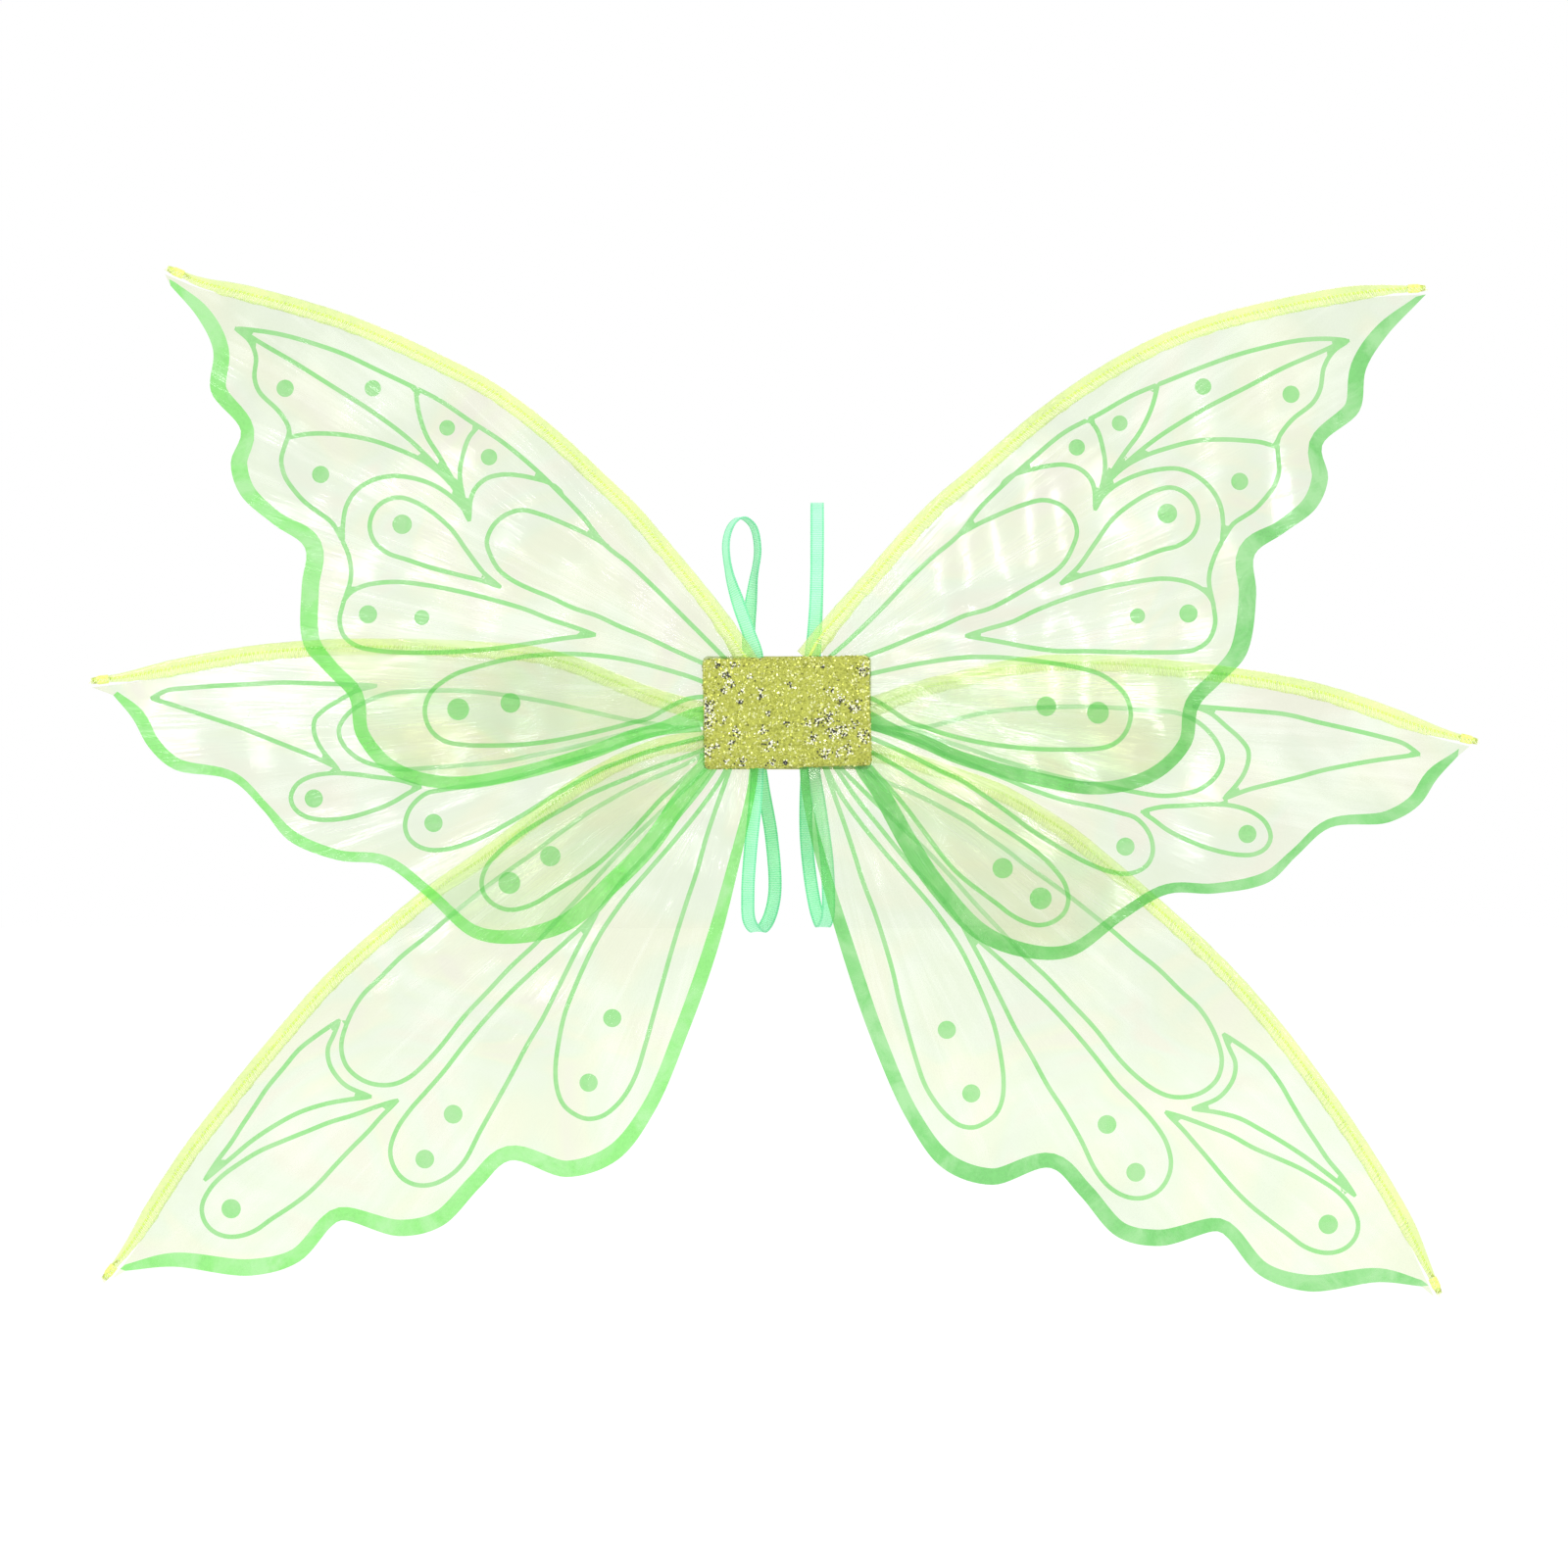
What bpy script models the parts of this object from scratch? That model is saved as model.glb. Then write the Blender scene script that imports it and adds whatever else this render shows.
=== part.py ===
"""Fairy wings worn on the back: three pairs of wired film wings on a padded glitter plate with two elastic arm loops.

The wings stand upright in the XZ plane. The wearer is on the +Y side and the glitter plate faces -Y.
The origin is the middle of the back panel's rear face. Lengths are written in millimetres and built in metres.
"""

import math

import bmesh
import bpy
from mathutils import Vector

MM = 0.001
GAP = 0.3  # clearance between pieces that touch

# Centre pad, from the wearer's back outwards: (width, height, near face, far face) along -Y
PAD_W, PAD_H = 107.0, 72.0
BACK_PANEL = (PAD_W, PAD_H, 0.0, 2.0)
BOARD = (PAD_W - 7.0, PAD_H - 8.0, 3.6, 4.5)
FOAM = (PAD_W - 5.0, PAD_H - 5.0, 16.8, 20.2)
COVER = (PAD_W, PAD_H, 20.5, 22.0)
PAD_CORNER = 3.0
BINDING_R = 8.0
BINDING_Y = (5.6, 16.4)

# Elastic arm loops, sewn between the back panel and the board
STRAP_W, STRAP_T = 8.5, 1.0
STRAP_Y = -2.8
STRAP_STEP = 12.0

# Wing edge: round wire in a flattened fabric sleeve, film along the sleeve's inner side
WIRE_R = 0.9
SLEEVE_HALF_W, SLEEVE_HALF_T = 5.1, 1.7
SLEEVE_WALL = 0.45
FILM_T = 0.5
EDGE_STEP = 24.0  # spacing of the rings along a sleeve or wire
FILM_CLEAR = 0.8  # the film's leading edge from the side of its sleeve
TRAIL_STEP = 9.0  # spacing of the points along a scalloped edge
MITRE_CLEAR = 7.0  # plain rings keep this far from a mitred end

# Wing tip: the wire doubles back and is wrapped
TIP_SLEEVE_GAP = 11.0
HAIRPIN_HALF = 1.25
HAIRPIN_LEN = 7.0
WRAP_HALF_W, WRAP_HALF_T, WRAP_WALL = 3.0, 1.7, 0.4
WRAP_LEN = 9.0

# Fold lines (u outwards from the middle, v up): a point on the line and the unit normal towards the wing's tip
FOLD_U = 57.0
SIDE_FOLD = ((FOLD_U, 0.0), (1.0, 0.0))
CORNER_FOLD = ((64.5, -40.0), (0.5, -math.sqrt(0.75)))

# Each pair of wings lies in its own layer, -Y of the pad's rear face, so that the pairs overlap like tiles.
# leading: centre of the sleeve from the pad to the tip. trailing: the scalloped edge from the tip to the pad.
# right_seat: how far the right wing sits from the left one's mirror image (outwards, up, degrees of turn).
WINGS = {
    "upper": {
        "layer": -15.5,
        "fold": SIDE_FOLD,
        "leading": [
            (27, 36), (45, 63), (60, 82), (80, 106), (100, 129), (120, 148), (140, 167), (165, 188),
            (190, 205.5), (220, 221), (250, 235), (280, 247), (310, 256.5), (340, 264.5), (370, 272), (392, 281),
        ],
        "trailing": [
            (390, 270), (373, 250), (363, 229), (364.5, 203), (345.5, 178), (352, 158), (346, 138), (325, 119),
            (305, 104), (307, 80), (306, 43), (291, 24.5), (277, 9.5), (272.5, -15), (252, -38.5), (215, -48.5),
            (170, -43), (120, -28.5), (100, -20.5), (80, -13.5), (57, -5), (46, -1),
        ],
        "leading_right": [
            (18.3, 43.2), (38.5, 68), (54.5, 86), (75, 109.5), (97, 132), (118.5, 150), (138, 167), (158, 184),
            (178.5, 199.5), (199, 213), (220, 225), (240.5, 235), (270.5, 246), (300.5, 253.8), (340, 262),
            (375, 267), (404, 268.5),
        ],
        "right_seat": (-11.0, 9.0, -3.7),
    },
    "middle": {
        "layer": -11.5,
        "fold": SIDE_FOLD,
        "leading": [
            (56, 1), (82, 9), (110, 20), (135, 30), (162, 37), (190, 39.5), (220, 41), (250, 41.5),
            (280, 41.5), (310, 40), (340, 37), (370, 32), (400, 26), (420, 22.5), (441, 20),
        ],
        "trailing": [
            (427, 11), (414.5, -4), (404.5, -22), (388.5, -36), (352, -43), (332, -62), (316, -81), (285, -93.5),
            (255.5, -97), (230.5, -115), (199.5, -142.5), (172, -146.5), (138, -138), (105, -111), (81, -86),
            (60, -54), (50, -41), (46, -33),
        ],
        "leading_right": [
            (52.8, 3.1), (62, 6.5), (75, 11.5), (92, 17), (108, 20.5), (134, 27), (162, 31.2), (190, 31.5),
            (220, 30), (250, 27.3), (280, 23.8), (310, 19), (340, 12.3), (368.5, 3.2), (397.5, -7.4),
            (417, -13.5), (437.7, -18.4),
        ],
        "right_seat": (-3.0, 8.0, -6.0),
    },
    "lower": {
        "layer": -6.5,
        "fold": CORNER_FOLD,
        "leading": [
            (54, -17), (80, -22), (102, -30), (122, -40), (141, -52), (160, -67), (180, -82.5), (200, -97),
            (222, -112), (249.5, -134.5), (270.5, -152.5), (293.5, -174.5), (317.5, -202), (338, -226.5),
            (357.5, -251), (378, -277.5), (397, -306), (415, -335), (434, -360),
        ],
        "trailing": [
            (420, -354.5), (390, -352), (340, -357.5), (309.5, -348.5), (289, -326), (283, -322.5), (246.5, -332.5),
            (219, -326), (194.5, -301), (176, -284.5), (140, -295), (107.5, -284), (84, -253), (62.5, -202.5),
            (44, -150), (30, -95), (20, -50), (17, -29),
        ],
        "leading_right": [
            (44.5, -25), (60, -26.5), (77, -30), (95, -36), (114, -42.5), (134, -50), (155, -61.5), (177, -75.5),
            (205, -98), (235, -124), (262, -148.5), (288, -175), (313, -204.5), (336, -235), (357, -265),
            (378, -298), (396.5, -331), (414.5, -369),
        ],
        "right_seat": (-9.5, -7.5, 0.0),
    },
}

# The right wings are not quite the left ones mirrored. Once seated, their films lie a little further over:
# (u, v, shift outwards, shift up), blended between these places.
SETTLE_REACH = 17.0
SETTLED = {
    "upper": [
        (80, 80, -1, 1.5), (100, 98, -2, 3), (120, 118, -4, 5), (140, 137, -4.5, 6), (160, 152, -4, 6.5),
        (200, 180, -3.5, 7.5), (240, 205, -2, 9), (300, 223, 1, 9), (353, 229, 4.8, 10.6), (319, 193, 0.5, 9),
        (264, 197, 0, 10), (215, 174.5, -6, 8.2), (187.5, 158, -4.5, 11.7), (198, 117, -3.3, 12.3),
        (293, 140, -8.4, 5), (240, 112, 2, 15), (262, 120, -1, 13), (258, 54, -4, 10.6), (224, 54, -2.4, 7.4),
        (165, 125.6, -2.5, 9), (187, 102, -1.5, 11), (175, 82, -2, 4), (278, 107, 1, 10), (275, 52, -3.5, 8),
        (233, 31, 0, 7), (200, 34, 0, 4.5), (160, 40, 0, 0), (113, 50, 0, 0), (75, 46, 0, -4), (100, 37, 0, -4.5),
        (65, 30, 0, -3), (140, 35, 0, -3), (197, -2, 0, 3), (164, 4, 0, 0), (74, 1, 0, -2.5), (96, -7, 0, -4),
        (119, -14, 0, -3), (149, -22, 0, 0), (190, -24, 0, 1), (215, -10, 0, 2), (56, -3, 0, -5), (74, -10, 0, -8),
        (96, -18, 0, -8), (119, -28, 0, -5.5), (141, -38, 0, -2.5), (177, -47, 0, 0), (205, -48, -1, 2),
        (245, -38, -4, 4), (262, -22, -4, 3), (262, 3, -5, 3), (281, 15, -9, 3), (296, 36, -7, 4), (300, 72, -3, 5),
        (300, 96, -5.5, 6.5), (325, 112, -8, 7), (350, 145, -9, 4), (344, 166, -7, 5), (359, 181, -6, 4), (367, 199, -1.5, 0),
        (372, 232, 0, 0), (390, 258, 6, 9)],
    "middle": [
        (74, -10, 0, 0), (126, -5, 0, 4.5), (149, -1, 0, 3.5), (177, 1, 0, 3.5), (200, 1, 0, 3), (240, -4, 0, 4),
        (278, -30, -2.5, 3), (265, -1, 0, 9), (300, -4, 0, 7.5), (340, -9, 0, 4.5), (362, -14, 0, 1.5),
        (396, -24, 0, 0.5), (288, -20, -3, 4), (285, -52, -2, 3), (320, -42, 0, 1.5), (360, -33, 0, 0.5),
        (289.5, -77.5, 4, 1), (304, -80, 2, 0), (260, -60, 0, 0), (260, -80, 1, 2), (213, -85, 2.5, 0),
        (229, -90, 1.5, 0), (402, -45, 7, -5), (420, -25, 2, -2), (331, -79, 4, -4), (311, -99, 2.5, -3.5),
        (380, -64, 1, -1), (345, -66, 0, 0), (255, -112, 0, 0), (200, -140, 0, 0), (170, -118, 0, 0),
        (137, -98, 0, 0), (74, -32, 0, -4.5), (96, -43, 0, -7), (119, -56, 0, -6), (134, -67, 0, -3.5),
        (112, -45, 0, 0), (134, -58, 0, 0), (72, -58, 0, 0), (70, -80, 0, 0),
        (90, -100, 0, 0), (46, -42, 0, 0), (110, -106, 0, 0)],
    "lower": [
        (271, -218, 2, -2), (281, -218, 3.5, -1), (255, -250, 3, 0), (316, -279, 0, -4.5), (361, -325, 1, -3),
        (342, -321, 0, -2), (342, -338, 0, -3), (221, -306, 1, -1), (128, -297, 0, 2.5), (235, -336, 0, 1.5),
        (170, -290, 1, 3), (42, -153, 2, 0), (57, -220, 1.5, 0.5), (82, -272, 2, 2), (412, -359, -8, -2.5),
        (200, -200, 0, 0), (100, -200, 0, 0), (300, -300, 0, 0)],
}

# Arm loops, from the sewn top end, over the top bight, down the rear run and back to the sewn bottom end
STRAPS = {
    "left": [
        (-19, STRAP_Y, 20), (-19.5, STRAP_Y, 37), (-24, -1, 50), (-31, 4, 70), (-37, 10, 90), (-39, 17, 110),
        (-35, 25, 122.5), (-29, 31, 126.5), (-22, 38, 121.5), (-19, 44, 107), (-22, 48, 85), (-25, 51, 50),
        (-22, 52, 0), (-16, 51, -45), (-10, 48, -80), (-8, 40, -117), (-13, 32, -135), (-18.5, 25, -140),
        (-24, 17, -133.5), (-25, 9, -115), (-23.5, 3, -90), (-20, -1.5, -55), (-19, STRAP_Y, -37),
        (-19, STRAP_Y, -20),
    ],
    "right": [
        (15, STRAP_Y, 20), (15.5, STRAP_Y, 37), (17, -1, 50), (18.5, 4, 70), (19.2, 10, 92), (19.5, 17, 115),
        (19.5, 25, 132), (19.5, 33, 136), (19.5, 41, 131), (19.5, 47, 111), (19.3, 50, 76), (17, 52, 20),
        (13, 51, -40), (12.5, 48, -78), (16, 41, -112), (20, 33, -131), (23, 25, -137), (26, 17, -131),
        (26.5, 9, -113), (25, 3, -90), (20, -1.5, -55), (17, STRAP_Y, -37), (16.5, STRAP_Y, -20),
    ],
}

# name: (base colour, roughness, metallic, alpha)
MATERIALS = {
    "felt": ((0.62, 0.66, 0.30), 0.9, 0.0, 1.0),
    "board": ((0.80, 0.80, 0.76), 0.8, 0.0, 1.0),
    "foam": ((0.86, 0.86, 0.74), 0.9, 0.0, 1.0),
    "glitter": ((0.55, 0.55, 0.12), 0.45, 0.5, 1.0),
    "elastic": ((0.30, 0.86, 0.62), 0.8, 0.0, 1.0),
    "wire": ((0.36, 0.28, 0.20), 0.4, 0.9, 1.0),
    "sleeve": ((0.78, 0.98, 0.18), 0.6, 0.0, 1.0),
    "film": ((0.90, 0.92, 0.82), 0.2, 0.0, 0.55),
    "tape": ((0.80, 0.92, 0.25), 0.6, 0.0, 1.0),
}


def clear_scene():
    """Remove every object the file starts with."""
    for obj in list(bpy.context.scene.objects):
        bpy.data.objects.remove(obj, do_unlink=True)


def make_materials():
    """One Principled material for each kind of surface."""
    made = {}
    for name, (colour, roughness, metallic, alpha) in MATERIALS.items():
        material = bpy.data.materials.new(name)
        material.use_nodes = True
        shader = material.node_tree.nodes["Principled BSDF"]
        shader.inputs["Base Color"].default_value = (*colour, 1.0)
        shader.inputs["Roughness"].default_value = roughness
        shader.inputs["Metallic"].default_value = metallic
        shader.inputs["Alpha"].default_value = alpha
        made[name] = material
    return made


def add_solid(name, points, faces, material, smooth=False):
    """Make one closed body from points in millimetres."""
    mesh = bpy.data.meshes.new(name)
    mesh.from_pydata([[c * MM for c in p] for p in points], [], faces)
    build = bmesh.new()
    build.from_mesh(mesh)
    bmesh.ops.recalc_face_normals(build, faces=build.faces)
    build.to_mesh(mesh)
    build.free()
    if smooth:
        mesh.polygons.foreach_set("use_smooth", [True] * len(mesh.polygons))
    mesh.materials.append(material)
    obj = bpy.data.objects.new(name, mesh)
    bpy.context.scene.collection.objects.link(obj)
    return obj


def spline(control, step):
    """Points about `step` apart on a smooth curve through the control points (centripetal Catmull-Rom)."""
    pts = [Vector(p) for p in control]
    pts = [2 * pts[0] - pts[1], *pts, 2 * pts[-1] - pts[-2]]
    out = []
    for i in range(1, len(pts) - 2):
        p0, p1, p2, p3 = pts[i - 1:i + 3]
        t1 = math.sqrt((p1 - p0).length)
        t2 = t1 + math.sqrt((p2 - p1).length)
        t3 = t2 + math.sqrt((p3 - p2).length)
        count = max(1, round((p2 - p1).length / step))
        for k in range(count):
            t = t1 + (t2 - t1) * k / count
            a1 = p0 * (t1 - t) / t1 + p1 * t / t1
            a2 = p1 * (t2 - t) / (t2 - t1) + p2 * (t - t1) / (t2 - t1)
            a3 = p2 * (t3 - t) / (t3 - t2) + p3 * (t - t2) / (t3 - t2)
            b1 = a1 * (t2 - t) / t2 + a2 * t / t2
            b2 = a2 * (t3 - t) / (t3 - t1) + a3 * (t - t1) / (t3 - t1)
            out.append(b1 * (t2 - t) / (t2 - t1) + b2 * (t - t1) / (t2 - t1))
    out.append(pts[-2])
    return out


def tangents(path):
    """Unit direction at each point of a path."""
    last = len(path) - 1
    return [(path[min(i + 1, last)] - path[max(i - 1, 0)]).normalized() for i in range(last + 1)]


def ellipse(half_w, half_t, count):
    """Corners of an ellipse, as (across, through) offsets."""
    turn = [2 * math.pi * (k + 0.5) / count for k in range(count)]
    return [(half_w * math.cos(a), half_t * math.sin(a)) for a in turn]


def bridge(ring_a, ring_b):
    """Quads between two rings of vertex numbers."""
    count = len(ring_a)
    return [(ring_a[k], ring_a[(k + 1) % count], ring_b[(k + 1) % count], ring_b[k]) for k in range(count)]


def tube_faces(rings, profile_len, hollow):
    """Faces of a swept bar, or of a tube whose second half of each ring is the inner wall."""
    faces = []
    for a, b in zip(rings, rings[1:]):
        faces += bridge(a[:profile_len], b[:profile_len])
        if hollow:
            faces += bridge(a[profile_len:], b[profile_len:])
    for ring in (rings[0], rings[-1]):
        if hollow:
            faces += bridge(ring[:profile_len], ring[profile_len:])
        else:
            faces.append(tuple(ring))
    return faces


def rounded_slab(name, size, corner, material):
    """Flat layer of the pad with rounded corners, lying between two distances along -Y."""
    width, height, near, far = size
    outline = []
    for cx, cz, start in ((1, 1, 0), (-1, 1, 90), (-1, -1, 180), (1, -1, 270)):
        for step in range(4):
            angle = math.radians(start + 30 * step)
            x = cx * (width / 2 - corner) + corner * math.cos(angle)
            z = cz * (height / 2 - corner) + corner * math.sin(angle)
            outline.append((x, z))
    return prism(name, outline, -near, -far, material)


def prism(name, outline, y0, y1, material):
    """Extrude an XZ outline between two Y values."""
    count = len(outline)
    points = [(x, y0, z) for x, z in outline] + [(x, y1, z) for x, z in outline]
    near, far = list(range(count)), list(range(count, 2 * count))
    faces = bridge(near, far) + [tuple(near), tuple(far)]
    return add_solid(name, points, faces, material)


class Wing:
    """One wing: its outline placed on one side of the pad, cut at its fold line."""

    def __init__(self, row, side):
        spec = WINGS[row]
        self.name = f"{row}_{side}"
        self.sign = -1.0 if side == "left" else 1.0
        self.layer = spec["layer"]
        self.fold_point, self.fold_normal = (Vector(v) for v in spec["fold"])
        out, up, turn = spec["right_seat"] if side == "right" else (0.0, 0.0, 0.0)
        cos, sin = math.cos(math.radians(turn)), math.sin(math.radians(turn))
        self.row, self.side = row, side
        self.seat = lambda p: Vector((cos * p[0] - sin * p[1] + out, sin * p[0] + cos * p[1] + up))
        self.leading = [Vector(p) for p in spec["leading" if side == "left" else "leading_right"]]
        self.trailing = [self.place(p) for p in spec["trailing"]]

    def place(self, p):
        """A (u, v) point of the film's outline, where it lies on this side of the pad."""
        p = self.seat(p)
        if self.side == "left":
            return p
        total, shift = 0.04, Vector((0.0, 0.0))
        for u, v, out, up in SETTLED[self.row]:
            weight = math.exp(-((p.x - u) ** 2 + (p.y - v) ** 2) / (2 * SETTLE_REACH ** 2))
            total += weight
            shift += Vector((out, up)) * weight
        return p + shift / total

    def past_fold(self, p):
        """Distance of a (u, v) point beyond the fold line, towards the tip."""
        return (p - self.fold_point).dot(self.fold_normal)

    def world(self, p, through=0.0):
        """A (u, v) point in the row's own axes."""
        return (self.sign * p[0], self.layer + through, p[1])

    def split_path(self, path, outer):
        """The part of a path on one side of the fold line, ending on it, with no ring crowding the mitre."""
        side = 1 if outer else -1
        kept = []
        for a, b in zip(path, path[1:] + path[-1:]):
            da, db = self.past_fold(a), self.past_fold(b)
            if side * da > MITRE_CLEAR:
                kept.append(a)
            if (da > 0) != (db > 0):
                kept.append(a.lerp(b, da / (da - db)))
        return kept

    def sweep(self, name, path, profile, material, inner=None, cut=None):
        """Sweep a profile along a (u, v) path. `cut` mitres one end to the fold line: 'start' or 'end'."""
        profile_len = len(profile)
        profile = profile + (inner or [])
        points, rings = [], []
        for i, (p, along) in enumerate(zip(path, tangents(path))):
            across = Vector((along[1], -along[0]))
            ring = []
            for a, b in profile:
                q = p + across * a
                mitre = (cut == "start" and i == 0) or (cut == "end" and i == len(path) - 1)
                if mitre:
                    side = GAP / 2 if cut == "start" else -GAP / 2
                    q += along * ((side - self.past_fold(q)) / along.dot(self.fold_normal))
                ring.append(len(points))
                points.append(self.world(q, b))
            rings.append(ring)
        faces = tube_faces(rings, profile_len, inner is not None)
        return add_solid(name, points, faces, material, smooth=True)

    def clip(self, outline, outer):
        """The part of an outline on one side of the fold line, half a gap clear of it."""
        kept = []
        for a, b in zip(outline, outline[1:] + outline[:1]):
            da, db = self.past_fold(a), self.past_fold(b)
            if outer:
                da, db = da - GAP / 2, db - GAP / 2
            else:
                da, db = -da - GAP / 2, -db - GAP / 2
            if da > 0:
                kept.append(a)
            if (da > 0) != (db > 0):
                kept.append(a.lerp(b, da / (da - db)))
        return kept

    def film_outline(self):
        """Film from the sleeve's inner side round the scalloped edge to the pad."""
        edge = spline(self.leading, EDGE_STEP)
        offset = SLEEVE_HALF_W + FILM_CLEAR
        inner = [p + Vector((t[1], -t[0])) * offset for p, t in zip(edge, tangents(edge))]
        return inner[:-1] + spline(self.trailing, TRAIL_STEP)

    def build(self, materials):
        """Make every piece of this wing."""
        edge = spline(self.leading, EDGE_STEP)
        tip, along = edge[-1], tangents(edge)[-1]
        across = Vector((along[1], -along[0]))
        start = self.leading[0].normalized() * (BINDING_R + GAP)

        sleeve_out = ellipse(SLEEVE_HALF_W, SLEEVE_HALF_T, 8)
        sleeve_in = ellipse(SLEEVE_HALF_W - SLEEVE_WALL, SLEEVE_HALF_T - SLEEVE_WALL, 8)
        sleeve_path = edge[:-1] + [tip - along * TIP_SLEEVE_GAP]
        outer_sleeve = self.split_path(sleeve_path, True)
        self.sweep(f"sleeve_{self.name}", outer_sleeve, sleeve_out, materials["sleeve"], sleeve_in, "start")
        root_sleeve = self.split_path(sleeve_path, False)
        if len(root_sleeve) > 1 and (root_sleeve[0] - root_sleeve[-1]).length > 5.0:
            name = f"sleeve_root_{self.name}"
            self.sweep(name, root_sleeve, sleeve_out, materials["sleeve"], sleeve_in, "end")

        bend = tip - along * (HAIRPIN_HALF + WIRE_R) - across * HAIRPIN_HALF
        wire_path = [start] + edge[:-1] + [bend - along * HAIRPIN_LEN, bend]
        for step in range(1, 5):
            angle = math.pi * step / 4
            turn = across * (1 - math.cos(angle)) + along * math.sin(angle)
            wire_path.append(bend + turn * HAIRPIN_HALF)
        wire_path.append(wire_path[-1] - along * HAIRPIN_LEN)
        round_wire = ellipse(WIRE_R, WIRE_R, 6)
        self.sweep(f"wire_{self.name}", self.split_path(wire_path, True), round_wire, materials["wire"], cut="start")
        root_path = self.split_path(wire_path, False)
        self.sweep(f"wire_root_{self.name}", root_path, round_wire, materials["wire"], cut="end")

        wrap_start = tip - along * (TIP_SLEEVE_GAP - GAP)
        wrap_path = [wrap_start, wrap_start + along * WRAP_LEN]
        wrap_out = ellipse(WRAP_HALF_W, WRAP_HALF_T, 8)
        wrap_in = ellipse(WRAP_HALF_W - WRAP_WALL, WRAP_HALF_T - WRAP_WALL, 8)
        self.sweep(f"tip_wrap_{self.name}", wrap_path, wrap_out, materials["tape"], wrap_in)

        outline = self.film_outline()
        for name, outer in ((f"film_{self.name}", True), (f"film_root_{self.name}", False)):
            part = [(self.sign * p[0], p[1]) for p in self.clip(outline, outer)]
            prism(name, part, self.layer - FILM_T / 2, self.layer + FILM_T / 2, materials["film"])


def build_strap(side, material):
    """Elastic arm loop: a flat band swept along its loop, its width kept near the X axis."""
    path = spline(STRAPS[side], STRAP_STEP)
    points, rings = [], []
    for p, along in zip(path, tangents(path)):
        across = Vector((1, 0, 0))
        across = (across - across.dot(along) * along).normalized()
        through = along.cross(across)
        ring = []
        for a, b in ((-1, -1), (1, -1), (1, 1), (-1, 1)):
            ring.append(len(points))
            points.append(p + across * a * STRAP_W / 2 + through * b * STRAP_T / 2)
        rings.append(ring)
    add_solid(f"strap_{side}", points, tube_faces(rings, 4, False), material)


def build_binding(material):
    """Taped bundle in the middle of the pad, where the six wires meet."""
    near, far = BINDING_Y
    prism("wire_binding", ellipse(BINDING_R, BINDING_R, 16), -near, -far, material)


def main():
    clear_scene()
    materials = make_materials()
    rounded_slab("back_panel", BACK_PANEL, PAD_CORNER, materials["felt"])
    rounded_slab("stiffener_board", BOARD, PAD_CORNER, materials["board"])
    rounded_slab("foam_pad", FOAM, PAD_CORNER, materials["foam"])
    rounded_slab("glitter_cover", COVER, PAD_CORNER, materials["glitter"])
    build_binding(materials["tape"])
    for side in ("left", "right"):
        build_strap(side, materials["elastic"])
        for row in WINGS:
            Wing(row, side).build(materials)


main()
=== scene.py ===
"""Fairy wings: printed iridescent film, sheer wired sleeves, a glitter plate and elastic arm loops."""

import math
import random

import bmesh
import bpy
import numpy as np
from mathutils import Matrix, Vector
from mathutils.bvhtree import BVHTree
from mathutils.geometry import delaunay_2d_cdt
from mathutils.kdtree import KDTree


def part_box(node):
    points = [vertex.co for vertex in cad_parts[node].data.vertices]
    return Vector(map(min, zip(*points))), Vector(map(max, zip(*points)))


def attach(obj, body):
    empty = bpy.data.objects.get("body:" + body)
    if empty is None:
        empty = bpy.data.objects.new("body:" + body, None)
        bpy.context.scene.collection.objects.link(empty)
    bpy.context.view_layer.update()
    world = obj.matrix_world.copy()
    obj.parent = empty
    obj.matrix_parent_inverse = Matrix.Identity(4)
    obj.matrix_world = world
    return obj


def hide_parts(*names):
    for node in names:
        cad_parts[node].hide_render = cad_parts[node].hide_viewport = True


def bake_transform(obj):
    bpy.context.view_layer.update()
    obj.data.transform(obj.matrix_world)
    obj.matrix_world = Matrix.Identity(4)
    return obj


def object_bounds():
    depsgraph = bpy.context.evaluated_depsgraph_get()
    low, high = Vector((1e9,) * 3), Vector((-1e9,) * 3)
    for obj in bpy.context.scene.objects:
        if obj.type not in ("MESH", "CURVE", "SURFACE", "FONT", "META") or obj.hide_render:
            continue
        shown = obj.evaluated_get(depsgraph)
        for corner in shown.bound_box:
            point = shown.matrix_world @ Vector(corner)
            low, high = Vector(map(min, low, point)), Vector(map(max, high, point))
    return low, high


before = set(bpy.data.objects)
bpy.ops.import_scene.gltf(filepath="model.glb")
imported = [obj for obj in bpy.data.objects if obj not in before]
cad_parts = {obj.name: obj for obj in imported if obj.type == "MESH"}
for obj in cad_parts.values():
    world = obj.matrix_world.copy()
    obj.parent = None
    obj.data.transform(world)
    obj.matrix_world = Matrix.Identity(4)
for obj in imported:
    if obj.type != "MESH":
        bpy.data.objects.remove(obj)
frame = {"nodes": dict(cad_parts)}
cad_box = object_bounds()

MM = 0.001

# ---------------------------------------------------------------- camera
# The camera looks square at the glitter side.
# The picture is a little wider than the wings and centred below the plate.
VIEW_WIDTH = 0.992
VIEW_CENTRE = Vector((-0.0019, -0.0155, -0.0453))
LENS_MM, SENSOR_MM = 85.0, 36.0

camera_data = bpy.data.cameras.new("camera")
camera_data.lens = LENS_MM
camera_data.sensor_width = SENSOR_MM
camera = bpy.data.objects.new("camera", camera_data)
bpy.context.scene.collection.objects.link(camera)
camera.location = VIEW_CENTRE - Vector((0, VIEW_WIDTH * LENS_MM / SENSOR_MM, 0))
camera.rotation_euler = (math.pi / 2, 0, 0)
bpy.context.scene.camera = camera

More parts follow.
